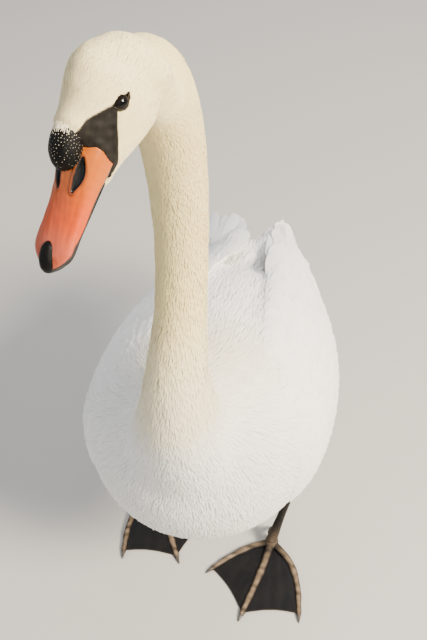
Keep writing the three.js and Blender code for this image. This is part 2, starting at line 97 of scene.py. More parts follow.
def bell(value: Array, centre: float, width: float) -> Array:
    """A smooth bump of height 1 about the centre."""
    return np.exp(-(((value - centre) / width) ** 2))


def bent(value: Array, power: Array) -> Array:
    """A signed value raised to a power with its sign kept."""
    return np.sign(value) * np.abs(value) ** power


def ramp(low: float, high: float, value: Array) -> Array:
    """A smooth step from 0 at low to 1 at high; low may be the larger."""
    share = np.clip((np.asarray(value, float) - low) / (high - low), 0, 1)
    return share * share * (3 - 2 * share)


def across(vectors: Array, normals: Array) -> Array:
    """Unit vectors with their part along the normals taken away."""
    return unit(vectors - normals * np.sum(vectors * normals, -1, keepdims=True))


WAVES = 6


def ripple(points: Array, scale: float, seed: int) -> Array:
    """Soft repeatable noise, about -1 to 1, made of sines in turned directions.

    Args:
        points: Positions, last axis xyz.
        scale: Size of the waves in the same units.
        seed: Chooses the directions.

    Returns:
        A value for each point.
    """
    rng = np.random.default_rng(seed)
    total = np.zeros(points.shape[:-1])
    for _ in range(WAVES):
        heading = unit(rng.normal(size=3)) * rng.uniform(0.7, 1.6) * 2 * np.pi / scale
        total = total + np.sin(points @ heading + rng.uniform(0, 6.28))
    return total / 3.2


class Rows:
    """A smooth function through rows whose first column is the position, as the solids use."""

    def __init__(self, rows: Sequence[Sequence[float]]) -> None:
        """Keeps the rows as a table."""
        table = np.array(rows, float)
        self.at, self.values = table[:, 0], table[:, 1:]

    def __call__(self, where: Array) -> Array:
        """The other columns at each position, last axis the columns.

        Args:
            where: Positions.

        Returns:
            The columns there.
        """
        at, last = self.at, len(self.at) - 1
        t = np.clip(np.asarray(where, float), at[0], at[-1])
        right = np.clip(np.searchsorted(at, t, side="right"), 1, last)
        left = right - 1
        before = np.where(left > 0, left - 1, right)
        after = np.where(right < last, right + 1, left)
        t0, t1 = at[left], at[right]
        wb, wa = (t1 - t0) / 2 / (t0 - at[before]), (t1 - t0) / 2 / (at[after] - t1)
        p = (t - t0) / (t1 - t0)
        p2, p3 = p * p, p * p * p
        mix = (
            -wb * p3 + 2 * wb * p2 - wb * p,
            (1 + wb) * p3 + (-1.5 - 2 * wb) * p2 + (-0.5 + wb) * p + 1,
            (-1 - wa) * p3 + (1.5 + wa) * p2 + 0.5 * p,
            wa * p3 - wa * p2,
        )
        return sum(m[..., None] * self.values[i] for m, i in zip(mix, (before, left, right, after)))


class Path:
    """A centripetal Catmull-Rom curve through points, as the solids use."""

    def __init__(self, points: Sequence[Sequence[float]]) -> None:
        """Keeps the points with one more reflected past each end.

        Args:
            points: The points the curve goes through.
        """
        p = np.array(points, float)
        self.count = len(p) - 1
        self.points = np.vstack([2 * p[0] - p[1], p, 2 * p[-1] - p[-2]])

    def point(self, share: Array) -> Array:
        """Positions at shares 0 to 1 of the curve.

        Args:
            share: Where along the curve.

        Returns:
            A point for each share.
        """
        s = np.clip(np.asarray(share, float), 0, 1) * self.count
        i = np.minimum(s.astype(int), self.count - 1)
        w = (s - i)[..., None]
        a, b, c, d = (self.points[i + k] for k in range(4))
        steps = (np.linalg.norm(q - p, axis=-1, keepdims=True) for p, q in ((a, b), (b, c), (c, d)))
        h0, h1, h2 = (np.maximum(step, 1e-4) ** 0.5 for step in steps)
        m1 = ((b - a) / h0 - (c - a) / (h0 + h1) + (c - b) / h1) * h1
        m2 = ((c - b) / h1 - (d - b) / (h1 + h2) + (d - c) / h2) * h1
        w2, w3 = w * w, w * w * w
        return b + m1 * w + (3 * c - 3 * b - 2 * m1 - m2) * w2 + (2 * b - 2 * c + m1 + m2) * w3

    def tangent(self, share: Array) -> Array:
        """Unit direction at each share."""
        share = np.asarray(share, float)
        return unit(self.point(np.minimum(share + 2e-3, 1)) - self.point(np.maximum(share - 2e-3, 0)))


def rounding(distance: Array, length: float) -> Array:
    """0 at an end, rising to 1 over the length as a quarter of an ellipse."""
    short = np.maximum(0, 1 - distance / length)
    return np.sqrt(np.maximum(0, 1 - short * short))


def eased(share: Array) -> Array:
    """Shares spaced closer together at both ends."""
    return (1 - np.cos(np.pi * share)) / 2


def superellipse(
    angle: Array, wide: Array, high: Array, power: float = 2, low_power: float | None = None
) -> tuple[Array, Array]:
    """Points on a superellipse whose lower half may have its own power.

    Args:
        angle: Where each point is round the section.
        wide: Half width.
        high: Half height.
        power: Squareness; 2 is an ellipse.
        low_power: Squareness of the lower half, where it differs.

    Returns:
        Places to the side and up.
    """
    c, s = np.cos(angle), np.sin(angle)
    bend = 2 / np.where(s < 0, low_power or power, power)
    return wide * bent(c, bend), high * bent(s, bend)


# ---- the swan's frames


@dataclass(frozen=True)
class HeadFrame:
    """The head's own axes: left, forward along the bill, and up to the crown, from between the eyes."""

    eyes: Triple = (-12.5, -310.9, 901.8)
    yaw: float = 18.7
    pitch: float = 42.9
    roll: float = 6.25

    def axes(self) -> Array:
        """Rows: left, forward, up.

        Returns:
            The three unit vectors.
        """
        yaw, pitch, roll = (math.radians(a) for a in (self.yaw, self.pitch, self.roll))
        level = math.cos(pitch)
        forward = np.array([-math.sin(yaw) * level, -math.cos(yaw) * level, -math.sin(pitch)])
        flat = np.array([math.cos(yaw), -math.sin(yaw), 0.0])
        left = flat * math.cos(roll) + np.cross(forward, flat) * math.sin(roll)
        return np.array([left, forward, np.cross(forward, left)])

    def out(self, l: Array, f: Array, u: Array) -> Array:
        """Build-frame points of head coordinates."""
        return np.array(self.eyes) + vec(l, f, u) @ self.axes()

    def into(self, points: Array) -> Array:
        """Head coordinates (left, forward, up) of build-frame points."""
        return (points - np.array(self.eyes)) @ self.axes().T


HEAD = HeadFrame()


@dataclass(frozen=True)
class Place:
    """Carries build-frame millimetres into the row frame in metres."""

    shift: Triple = (2.5225, -23.9314, 0.0)

    def row(self, points: Array) -> Array:
        """Row-frame metres."""
        return (np.asarray(points, float) + np.array(self.shift)) * MM

    def build(self, points: Array) -> Array:
        """Build-frame millimetres of row-frame metres."""
        return np.asarray(points, float) / MM - np.array(self.shift)


PLACE = Place()


TURN, ROLL, ROLL_HEIGHT = 0.035, 0.05, 330


def on_body(points: Array) -> Array:
    """Points of the straight, upright body after it is turned and rolled to its left."""
    x, y, z = np.moveaxis(np.asarray(points, float), -1, 0)
    return vec(x + TURN * y + ROLL * (z - ROLL_HEIGHT), y, z)


# ---- meshes from arrays


@dataclass
class Shape:
    """Vertices in build millimetres and their triangles or quads."""

    verts: Array
    faces: Array

    def joined(self, *others: "Shape") -> "Shape":
        """This shape and others as one.

        Args:
            others: Shapes to add.

        Returns:
            The joined shape.
        """
        verts, faces = [self.verts], [self.faces]
        count = len(self.verts)
        for other in others:
            verts.append(other.verts)
            faces.append(other.faces + count)
            count += len(other.verts)
        return Shape(np.vstack(verts), np.vstack(faces))

    def pushed(self, out: Array) -> "Shape":
        """The shape with its vertices moved out along their normals."""
        return Shape(self.verts + vertex_normals(self) * out[:, None], self.faces)

    def volume(self) -> float:
        """Signed volume; positive when the faces point outwards.

        Returns:
            Cubic millimetres.
        """
        v, total = self.verts, 0.0
        for k in range(1, self.faces.shape[1] - 1):
            a, b, c = (v[self.faces[:, i]] for i in (0, k, k + 1))
            total += float(np.sum(np.cross(a, b) * c) / 6)
        return total

    def outward(self) -> "Shape":
        """The shape with its faces pointing outwards."""
        return self if self.volume() > 0 else Shape(self.verts, self.faces[:, ::-1].copy())


def rings_about(centre: Array, side: Array, up: Array, wide: Array, high: Array) -> Array:
    """Rings along a line, from how far each point lies to the side and up."""
    return centre[..., None, :] + side[..., None, :] * wide[..., None] + up[..., None, :] * high[..., None]


def halved(quads: Array) -> Array:
    """Two triangles for each quad."""
    return np.vstack([quads[:, [0, 1, 2]], quads[:, [0, 2, 3]]])


def per_vertex(rings: Array) -> Array:
    """Values on rings as values on the vertices that grid_shape makes of such rings."""
    return np.concatenate([rings[:1, 0], rings[1:-1].ravel(), rings[-1:, 0]])


def grid_shape(points: Array) -> Shape:
    """A closed skin over rows of rings; the first and last ring are points.

    Args:
        points: Array rows x ring x 3 whose first and last rows are each one place.

    Returns:
        The closed shape, its faces outwards.
    """
    rows, ring = points.shape[:2]
    verts = np.vstack([points[0, :1], points[1:-1].reshape(-1, 3), points[-1, :1]])
    i, j = np.meshgrid(np.arange(rows - 3), np.arange(ring), indexing="ij")
    a, b = 1 + i * ring + j, 1 + i * ring + (j + 1) % ring
    walls = np.stack([a, b, b + ring, a + ring], -1).reshape(-1, 4)
    j = np.arange(ring)
    k = (j + 1) % ring
    last = len(verts) - 1
    base = 1 + (rows - 3) * ring
    first_cap = np.stack([np.zeros(ring, int), np.zeros(ring, int), k + 1, j + 1], -1)
    last_cap = np.stack([np.full(ring, last), np.full(ring, last), base + j, base + k], -1)
    tris = halved(np.vstack([walls, first_cap, last_cap]))
    keep = (tris[:, 0] != tris[:, 1]) & (tris[:, 1] != tris[:, 2]) & (tris[:, 2] != tris[:, 0])
    return Shape(verts, tris[keep]).outward()


def linked(name: str, data: Any) -> Object:
    """A new object in the scene that holds the data.

    Args:
        name: Name of the object.
        data: Its mesh, light or camera.

    Returns:
        The object.
    """
    made = bpy.data.objects.new(name, data)
    bpy.context.scene.collection.objects.link(made)
    return made


def settled(helper: Object, name: str) -> Object:
    """A plain mesh object of a helper with its modifiers worked out.

    Args:
        helper: The object with live modifiers, which is removed.
        name: Name of the new object and its mesh.

    Returns:
        The plain object.
    """
    mesh = bpy.data.meshes.new_from_object(helper.evaluated_get(bpy.context.evaluated_depsgraph_get()))
    drop(helper)
    mesh.name = name
    return linked(name, mesh)


def mesh_object(name: str, shape: Shape, material: Material | None = None) -> Object:
    """A linked object in the row frame from a shape of triangles or quads.

    Args:
        name: Name of the object and its mesh.
        shape: Build-frame vertices and faces.
        material: Its finish, where it has one yet.

    Returns:
        The object.
    """
    size = shape.faces.shape[1]
    mesh = bpy.data.meshes.new(name)
    mesh.vertices.add(len(shape.verts))
    mesh.vertices.foreach_set("co", PLACE.row(shape.verts).astype(np.float32).ravel())
    mesh.loops.add(shape.faces.size)
    mesh.loops.foreach_set("vertex_index", shape.faces.astype(np.int32).ravel())
    mesh.polygons.add(len(shape.faces))
    mesh.polygons.foreach_set("loop_start", np.arange(0, shape.faces.size, size, dtype=np.int32))
    mesh.update(calc_edges=True)
    mesh.polygons.foreach_set("use_smooth", np.full(len(shape.faces), True))
    if material:
        mesh.materials.append(material)
    return linked(name, mesh)


def read(items: Any, name: str, width: int, kind: type = np.float32) -> Array:
    """One property of every item of a collection.

    Args:
        items: The collection, such as a mesh's vertices.
        name: The property.
        width: How many numbers it has.
        kind: Their type.

    Returns:
        A row for each item.
    """
    values = np.empty(len(items) * width, kind)
    items.foreach_get(name, values)
    return values.reshape(-1, width)


@contextmanager
def edited(mesh: bpy.types.Mesh) -> Iterator[bmesh.types.BMesh]:
    """A mesh opened for changes, which are put back at the end.

    Args:
        mesh: The mesh to change.

    Returns:
        A context that gives the open mesh.
    """
    opened = bmesh.new()
    opened.from_mesh(mesh)
    yield opened
    opened.to_mesh(mesh)
    opened.free()


def shape_of(mesh: bpy.types.Mesh) -> Shape:
    """A mesh's triangles as a shape in the build frame.

    Args:
        mesh: A mesh in the row frame.

    Returns:
        Its vertices in build millimetres and its triangles.
    """
    mesh.calc_loop_triangles()
    tris = read(mesh.loop_triangles, "vertices", 3, np.int32)
    return Shape(PLACE.build(read(mesh.vertices, "co", 3)), tris.astype(int))


def vertex_normals(shape: Shape) -> Array:
    """Area-weighted unit normals at the vertices of a triangle shape.

    Args:
        shape: A shape of triangles.

    Returns:
        A unit vector for each vertex.
    """
    a, b, c = (shape.verts[shape.faces[:, i]] for i in range(3))
    face = np.cross(b - a, c - a)
    total = np.zeros_like(shape.verts)
    for i in range(3):
        for axis in range(3):
            total[:, axis] += np.bincount(shape.faces[:, i], face[:, axis], len(total))
    return unit(total)


def paint(obj: Object, name: str, colours: Array) -> None:
    """Stores a colour for each vertex as an attribute.

    Args:
        obj: The object to paint.
        name: Name of the attribute.
        colours: A colour for each vertex, or one for all.
    """
    layer = obj.data.color_attributes.new(name, "FLOAT_COLOR", "POINT")
    rgba = np.ones((len(obj.data.vertices), 4), np.float32)
    rgba[:, :3] = colours
    layer.data.foreach_set("color", rgba.ravel())


def corners(obj: Object) -> Array:
    """The vertex at each corner of the faces."""
    return read(obj.data.loops, "vertex_index", 1, np.int32)[:, 0]


def uv_layer(obj: Object, name: str, uv: Array) -> None:
    """Stores a UV for each vertex on the corners that use it."""
    layer = obj.data.uv_layers.new(name=name)
    layer.data.foreach_set("uv", uv[corners(obj)].astype(np.float32).ravel())


def drop(obj: Object) -> None:
    """Removes a helper object and its mesh.

    Args:
        obj: The helper.
    """
    mesh = obj.data
    bpy.data.objects.remove(obj)
    bpy.data.meshes.remove(mesh)


# ---- forms of the flesh


class Side(Enum):
    """The swan's two sides, with the sign of X."""

    LEFT = 1
    RIGHT = -1

    @property
    def word(self) -> str:
        """The side's name in node names."""
        return self.name.lower()


@dataclass(frozen=True)
class Leg:
    """Where one leg's hip, hock and foot root are, and which way the foot points."""

    side: Side
    hip: Triple
    hock: Triple
    root: Triple
    turn: float


LEGS = (
    Leg(Side.LEFT, (92, -30, 262), (111, 22, 122), (87, -19, 18), 9),
    Leg(Side.RIGHT, (-92, 20, 262), (-112, 76, 123), (-111, 37, 18), 29),
)


def ring_angles(count: int) -> Array:
    """Angles of a ring of points."""
    return np.arange(count) * 2 * np.pi / count


def lofted(
    rows: Rows,
    place: Callable[[Array, Array, Array], Array],
    rounds: tuple[float, float],
    size: tuple[int, int],
    power: float = 2,
    low_power: float | None = None,
) -> Array:
    """Rings of a form lofted along one axis.

    Args:
        rows: Position to top, bottom and half width.
        place: Maps the form's left, forward and up to build points.
        rounds: Lengths over which the two ends close.
        size: Points round and rings along.
        power: Squareness of the section.
        low_power: Squareness of its lower half.

    Returns:
        Array rings x round x 3.
    """
    around, along = size
    first, last = rows.at[0], rows.at[-1]
    f = (first + (last - first) * eased(np.linspace(0, 1, along + 1)))[:, None]
    top, bottom, half = np.moveaxis(rows(f), -1, 0)
    close = rounding(f - first, rounds[0]) * rounding(last - f, rounds[1])
    angle = ring_angles(around)[None]
    l, u = superellipse(angle, half * close, (top - bottom) / 2 * close, power, low_power)
    return place(l, f + 0 * l, (top + bottom) / 2 + u)


def tube(
    points: Sequence[Sequence[float]],
    sizes: Sequence[Sequence[float]],
    size: tuple[int, int],
    rounds: tuple[float, float],
) -> Array:
    """Rings of a tube along a curve.

    Args:
        points: The curve's points.
        sizes: Half width (along X) and half depth at each point.
        size: Points round and rings along.
        rounds: Lengths over which the two ends close.

    Returns:
        Array rings x round x 3.
    """
    around, along = size
    curve = Path(points)
    t = eased(np.linspace(0, 1, along + 1))
    centre, tangent = curve.point(t), curve.tangent(t)
    at_share = Rows([[i / (len(points) - 1), *s] for i, s in enumerate(sizes)])
    wide, deep = np.moveaxis(at_share(t), -1, 0)
    length = float(np.sum(np.linalg.norm(np.diff(centre, axis=0), axis=1)))
    close = rounding(t * length, rounds[0]) * rounding((1 - t) * length, rounds[1])
    side = across(np.broadcast_to([1.0, 0, 0], tangent.shape), tangent)
    front = np.cross(side, tangent)
    angle = ring_angles(around)
    a = np.cos(angle)[None] * (wide * close)[:, None]
    b = np.sin(angle)[None] * (deep * close)[:, None]
    return rings_about(centre, side, front, a, b)


@dataclass(frozen=True)
class Wing:
    """A folded wing's bent lens.

    Its rows are: y, outermost x and z, top edge x and z, low edge z, tuck and half thickness.
    """

    rows: Table = (
        (-142, 133, 326, 72, 418, 274, 6, 4),
        (-108, 142, 321, 60, 446, 252, 14, 9),
        (-60, 146, 318, 48, 467, 238, 20, 12),
        (0, 144, 318, 40, 472, 230, 20, 12.5),
        (60, 132, 322, 32, 464, 234, 18, 11.5),
        (120, 107, 331, 26, 449, 250, 14, 10),
        (180, 80, 344, 19, 430, 282, 8, 8),
        (235, 53, 357, 15, 408, 318, 4, 5),
        (282, 36, 368, 14, 390, 345, 2, 3),
    )
    splay: tuple[float, float] = (-6, 34)
    shoulder: tuple[float, float] = (1.2, 1.5)
    split: float = 0.36

    def surface(self, side: Side, y: Array, share: Array, face: float = 1.0) -> Array:
        """Points of the wing's face.

        Args:
            side: Which wing.
            y: Position along the body; beyond the rear end the surface runs on straight.
            share: 0 at the low edge to 1 at the top edge.
            face: 1 for the outer face, -1 for the inner, 0 for the middle.

        Returns:
            Build-frame points.
        """
        y, share = np.broadcast_arrays(np.asarray(y, float), np.asarray(share, float))
        which = 0 if side is Side.LEFT else 1
        rows = Rows(self.rows)
        end = rows.at[-1]
        over = np.maximum(y - end, 0)[..., None]
        row = rows(y) + over * (rows(np.array(end)) - rows(np.array(end - 8.0))) / 8
        close = np.sqrt(np.maximum(rounding(y - rows.at[0], 40), 0.02))
        middle = self._line(row, share, which)
        above = self._line(row, np.minimum(share + 0.01, 1), which)
        rise = unit(above - self._line(row, np.maximum(share - 0.01, 0), which))
        inside = np.maximum(0, 1 - (2 * share - 1) ** 2)
        lens = np.maximum(row[..., 6], 1.5) * close * np.sqrt(inside) * face
        spread = self.splay[which] * np.maximum(0, (y - 150) / 130) ** 1.5
        x = middle[..., 0] + spread + rise[..., 1] * lens
        z = middle[..., 1] - rise[..., 0] * lens
        return on_body(vec(side.value * x, y, z))

    def _line(self, row: Array, share: Array, which: int) -> Array:
        """The middle line's x and z at a share of one row.

        Args:
            row: The wing's table at each place along the body.
            share: 0 at the low edge to 1 at the top edge.
            which: 0 for the left wing, 1 for the right.

        Returns:
            Places outwards and up.
        """
        out_x, out_z, top_x, top_z, low_z, tuck = (row[..., i] for i in range(6))
        down = 1 - share / self.split
        turn = np.clip((share - self.split) / (1 - self.split), 0, 1) * np.pi / 2
        low = vec(out_x - tuck * down * down, out_z - (out_z - low_z) * down)
        curl = np.maximum(np.cos(turn), 1e-6) ** self.shoulder[which]
        high = vec(top_x + (out_x - top_x) * curl, out_z + (top_z - out_z) * np.sin(turn))
        return np.where((share < self.split)[..., None], low, high)

    def plate(self, side: Side, thin: float) -> Shape:
        """The wing's closed core, thinner than its solid by a share.

        Args:
            side: Which wing.
            thin: Its thickness as a share of the solid's.

        Returns:
            The closed shape.
        """
        y = np.linspace(self.rows[0][0] + 6, self.rows[-1][0] - 8, 60)
        angle = ring_angles(64)
        share = 0.5 + 0.47 * np.cos(angle)
        outer = self.surface(side, y[:, None], share[None], thin)
        inner = self.surface(side, y[:, None], share[None], -thin)
        rings = np.where((np.sin(angle) > 0)[None, :, None], outer, inner)
        first, last = rings[:1].mean(1, keepdims=True), rings[-1:].mean(1, keepdims=True)
        caps = [np.repeat(p, 64, 1) for p in (first, last)]
        return grid_shape(np.concatenate([caps[0], rings, caps[1]]))


def lump(
    place: Callable[[Array, Array, Array], Array],
    at: Sequence[float],
    size: Sequence[float],
    tilt: float = 0.0,
    behind: float = 1.0,
) -> Shape:
    """A rounded lump in its own frame.

    Args:
        place: Turns left, forward and up coordinates into points.
        at: Its centre: left, forward, up.
        size: Half its length, width and height.
        tilt: How far its length is tipped, in degrees.
        behind: Stretch of the half behind the centre.

    Returns:
        The closed shape.
    """
    down = np.linspace(0, np.pi, 61)[:, None]
    angle = ring_angles(88)[None]
    along = -np.cos(down) + 0 * angle
    along = size[0] * along * np.where(along < 0, behind, 1.0)
    over = size[2] * np.sin(down) * np.sin(angle)
    tip = math.radians(tilt)
    forward = at[1] + along * math.cos(tip) - over * math.sin(tip)
    up = at[2] + along * math.sin(tip) + over * math.cos(tip)
    return grid_shape(place(at[0] + size[1] * np.sin(down) * np.cos(angle), forward, up))


@dataclass(frozen=True)
class Flesh:
    """The whole body under the feathers, from the same tables as the solids."""

    trunk: Table = (
        (-218, 466, 184, 122),
        (-150, 476, 170, 139),
        (-80, 481, 166, 143),
        (-10, 478, 170, 138),
        (60, 464, 180, 127),
        (120, 430, 198, 106),
        (180, 392, 224, 84),
        (240, 358, 252, 62),
        (300, 332, 282, 42),
    )
    neck: Table = (
        (-5, -100, 330, 112, 100),
        (-5, -150, 390, 80, 80),
        (-4, -184, 450, 50, 53),
        (-4, -186, 515, 35, 39),
        (-4, -164, 590, 27, 30),
        (-4, -154, 670, 26, 29),
        (-4, -163, 755, 27.5, 30),
        (-4, -187, 821, 28.5, 32),
        (-5, -221, 867, 29, 32),
        (-5, -254, 889, 26, 28.5),
        (-5, -288, 899, 21, 23),
    )
    cranium: Table = (
        (-46, 14, -28, 12),
        (-36, 23, -40, 17),
        (-24, 29, -50, 21.5),
        (-12, 30, -55, 24.3),
        (0, 27.3, -54, 24.8),
        (12, 23.5, -50, 23),
        (22, 19.5, -46, 21),
        (31, 13.5, -42, 19),
        (38, 1, -39, 17),
        (46, -10, -37, 15.4),
        (58, -18, -33, 11.5),
    )
    wing: Wing = Wing()
    thigh: Table = ((36, 44), (27, 34), (15, 18), (11, 12))
    nape: tuple[Triple, Triple] = ((4, -32.5, -19), (15.9, 22.5, 36))
    brow: tuple[Triple, Triple] = ((0, 25, 10.4), (12.3, 14, 12.4))
    back: tuple[tuple[Triple, Triple], ...] = (
        ((-6, 128, 396), (46, 34, 44)),
        ((-12, 168, 380), (64, 44, 44)),
        ((14, 188, 394), (60, 27, 34)),
    )

    def neck_path(self) -> Path:
        """The neck's centre line, from the body to the head."""
        return Path([row[:3] for row in self.neck])

    def forms(self) -> list[Shape]:
        """The separate closed forms, overlapping, before they are made one.

        Returns:
            The forms.
        """

        def body(l: Array, f: Array, u: Array) -> Array:
            """Build-frame points of the turned body."""
            return on_body(vec(l, f, u))

        trunk = lofted(Rows(self.trunk), body, (125, 60), (120, 110), 2.05)
        neck = tube([r[:3] for r in self.neck], [r[3:] for r in self.neck], (80, 200), (40, 16))
        head = lofted(Rows(self.cranium), HEAD.out, (34, 8), (90, 90), 2.1)
        made = [grid_shape(rings) for rings in (trunk, neck, head)]
        made += [lump(HEAD.out, *self.nape), lump(HEAD.out, *self.brow, -15)]
        made += [lump(body, at, size, -20) for at, size in self.back]
        for leg in LEGS:
            hip, hock = np.array(leg.hip, float), np.array(leg.hock, float)
            points = [hip + (hock - hip) * s for s in (0, 0.45, 0.8, 0.97)]
            made.append(grid_shape(tube(points, self.thigh, (40, 60), (20, 10))))
            made.append(self.wing.plate(leg.side, 1.0))
        return made


# ---- finishes


def add_node(tree: Tree, kind: str, **settings: Any) -> bpy.types.Node:
    """A new node.

    Args:
        tree: Where it goes.
        kind: Blender's name of the node type.
        settings: Its settings; a key that starts with in_ feeds an input, by number or name.

    Returns:
        The node.
    """
    node = tree.nodes.new(kind)
    for key, value in settings.items():
        if not key.startswith("in_"):
            setattr(node, key, value)
            continue
        socket = node.inputs[int(key[3:]) if key[3:].isdigit() else key[3:].replace("_", " ")]
        if isinstance(value, Socket):
            tree.links.new(value, socket)
        else:
            socket.default_value = value
    return node


def grey(level: float) -> tuple[float, ...]:
    """A grey of one level, with full alpha."""
    return (level, level, level, 1.0)


class Finish:
    """A new material with its principled shader, and short ways to add to it."""

    def __init__(self, name: str, **inputs: Any) -> None:
        """Makes the material and sets inputs of the shader, their names with _ for each space.

        Args:
            name: Name of the material.
            inputs: Values of the shader, each name with _ for a space.
        """
        self.made = bpy.data.materials.new(name)
        self.made.use_nodes = True
        self.tree = self.made.node_tree
        self.shader = self.tree.nodes["Principled BSDF"]
        self.normal: Socket | None = None
        for key, value in inputs.items():
            self.shader.inputs[key.replace("_", " ")].default_value = value

    def add(self, kind: str, output: str | int = 0, **settings: Any) -> Socket:
        """Adds a node and returns one of its outputs."""
        return add_node(self.tree, kind, **settings).outputs[output]

    def feed(self, name: str, value: Socket) -> "Finish":
        """Links an output to an input of the shader."""
        self.tree.links.new(value, self.shader.inputs[name])
        return self

    def texture(self, kind: str, output: str, scale: float, **settings: Any) -> Socket:
        """A pattern in the object's own space."""
        where = self.add("ShaderNodeTexCoord", "Object")
        return self.add(f"ShaderNodeTex{kind}", output, in_Vector=where, in_Scale=scale, **settings)

    def sum(self, operation: str, *values: Any) -> Socket:
        """The result of a sum with sockets or plain values."""
        inputs = {f"in_{i}": value for i, value in enumerate(values)}
        return self.add("ShaderNodeMath", 0, operation=operation, **inputs)

    def mix(self, factor: Any, one: Any, two: Any, how: str = "MIX") -> Socket:
        """A colour mix; each part is a socket or a plain value."""
        kind = {"data_type": "RGBA", "blend_type": how}
        return self.add("ShaderNodeMix", 2, **kind, in_0=factor, in_6=one, in_7=two)

    def tinted(self, factor: Socket, dark: Sequence[float], light: Sequence[float]) -> "Finish":
        """Colours the shader by the piece's Tint, varied between two shades."""
        tint = self.add("ShaderNodeAttribute", "Color", attribute_name="Tint")
        return self.feed("Base Color", self.mix(1.0, tint, self.mix(factor, dark, light), "MULTIPLY"))

    def bump(self, height: Socket, strength: float, distance: float) -> "Finish":
        """Adds one height to the relief.

        Args:
            height: Where the surface stands up.
            strength: Share of it that shows.
            distance: How high it stands, in metres.

        Returns:
            This finish.
        """
        below = {"in_Normal": self.normal} if self.normal else {}
        relief = {"in_Strength": strength, "in_Distance": distance, "in_Height": height}
        self.normal = self.add("ShaderNodeBump", "Normal", **relief, **below)
        return self.feed("Normal", self.normal)


@dataclass(frozen=True)
class Plumage:
    """White feathers: tint from the coat's own colours, with fine barbs across each vane."""

    name: str
    roughness: float = 0.75
    sheen: float = 0.12
    barbs: float = 60.0
    relief: float = 0.0002
    shade: float = 0.08
    glow: float = 0.3

    def material(self) -> Material:
        """Builds the material; vanes carry a UV map named Vane, across and along.

        Returns:
            The material.
        """
        made = Finish(
            self.name,
            Roughness=self.roughness,
            Sheen_Weight=self.sheen,
            Sheen_Roughness=0.5,
            Specular_IOR_Level=0.25,
            Subsurface_Weight=self.glow,
            Subsurface_Radius=(0.005, 0.0045, 0.004),
        )
        vane = made.add("ShaderNodeUVMap", uv_map="Vane")
        across_vane = made.add("ShaderNodeSeparateXYZ", 0, in_0=vane)
        along_vane = made.add("ShaderNodeSeparateXYZ", 1, in_0=vane)
        off_shaft = made.sum("ABSOLUTE", made.sum("SUBTRACT", across_vane, 0.5))
        slanted = made.sum("MULTIPLY_ADD", off_shaft, -0.5, along_vane)
        barbs = made.sum("SINE", made.sum("MULTIPLY", slanted, self.barbs))
        cloud = made.texture("Noise", "Fac", 45.0, in_Detail=3.0)
        dim = 1 - self.shade
        made.tinted(cloud, (dim, dim, dim * 0.985, 1), grey(1))
        return made.bump(barbs, 0.35, self.relief).made


@dataclass(frozen=True)
class BareSkin:
    """Black or grey skin with a fine pebbled grain."""

    name: str
    roughness: float
    coat: float
    grain: float
    relief: float
    plain: tuple[Triple, Triple] | None = None

    def material(self) -> Material:
        """Builds the material, of two plain colours or by the piece's Tint.

        Returns:
            The material.
        """
        made = Finish(
            self.name,
            Roughness=self.roughness,
            Coat_Weight=self.coat,
            Coat_Roughness=0.25,
            Specular_IOR_Level=0.1,
        )
        cells = made.texture("Voronoi", "Distance", self.grain, feature="DISTANCE_TO_EDGE")
        cloud = made.texture("Noise", "Fac", self.grain / 9, in_Detail=5.0)
        if self.plain:
            dark, light = ((*colour, 1.0) for colour in self.plain)
            made.feed("Base Color", made.mix(cloud, dark, light))
        else:
            made.tinted(cloud, grey(0.85), grey(1.1))
        return made.bump(cells, 0.6, self.relief).bump(cloud, 0.4, self.relief).made


@dataclass(frozen=True)
class Horn:
    """Smooth horn whose colour comes from the piece's Tint, with fine streaks along it."""

    name: str
    roughness: float
    coat: float
    glow: float = 0.08

    def material(self) -> Material:
        """Builds the material.

        Returns:
            The material.
        """
        made = Finish(
            self.name,
            Coat_Weight=self.coat,
            Coat_Roughness=0.12,
            Specular_IOR_Level=0.22,
            Subsurface_Weight=self.glow,
            Subsurface_Radius=(0.004, 0.0015, 0.0008),
        )
        cloud = made.texture("Noise", "Fac", 220.0, in_Detail=6.0, in_Roughness=0.6)
        pores = made.texture("Noise", "Fac", 1500.0, in_Detail=2.0)
        made.tinted(cloud, (0.9, 0.88, 0.86, 1), grey(1.06))
        gloss = {"in_3": self.roughness - 0.06, "in_4": self.roughness + 0.1}
        made.feed("Roughness", made.add("ShaderNodeMapRange", in_0=cloud, **gloss))
        return made.bump(cloud, 0.25, 0.0004).bump(pores, 0.15, 0.0001).made


@dataclass(frozen=True)
class WetEye:
    """A dark brown eye under a clear wet coat."""

    name: str = "eye_wet"
    roughness: float = 0.12
    coat: float = 0.25

    def material(self) -> Material:
        """Builds the material.

        Returns:
            The material.
        """
        wet = {"Coat_Weight": self.coat, "Coat_Roughness": 0.02}
        made = Finish(self.name, Roughness=self.roughness, Specular_IOR_Level=0.1, **wet)
        rays = made.texture("Noise", "Fac", 900.0, in_Detail=3.0)
        return made.tinted(rays, grey(0.7), grey(1.2)).made


@dataclass(frozen=True)
class Studio:
    """The plain matt surface of the floor."""

    name: str = "studio_floor"
    colour: Triple = (0.44, 0.427, 0.405)
    roughness: float = 0.9

    def material(self) -> Material:
        """Builds the material."""
        return Finish(self.name, Base_Color=(*self.colour, 1.0), Roughness=self.roughness).made


# ---- regions of the body


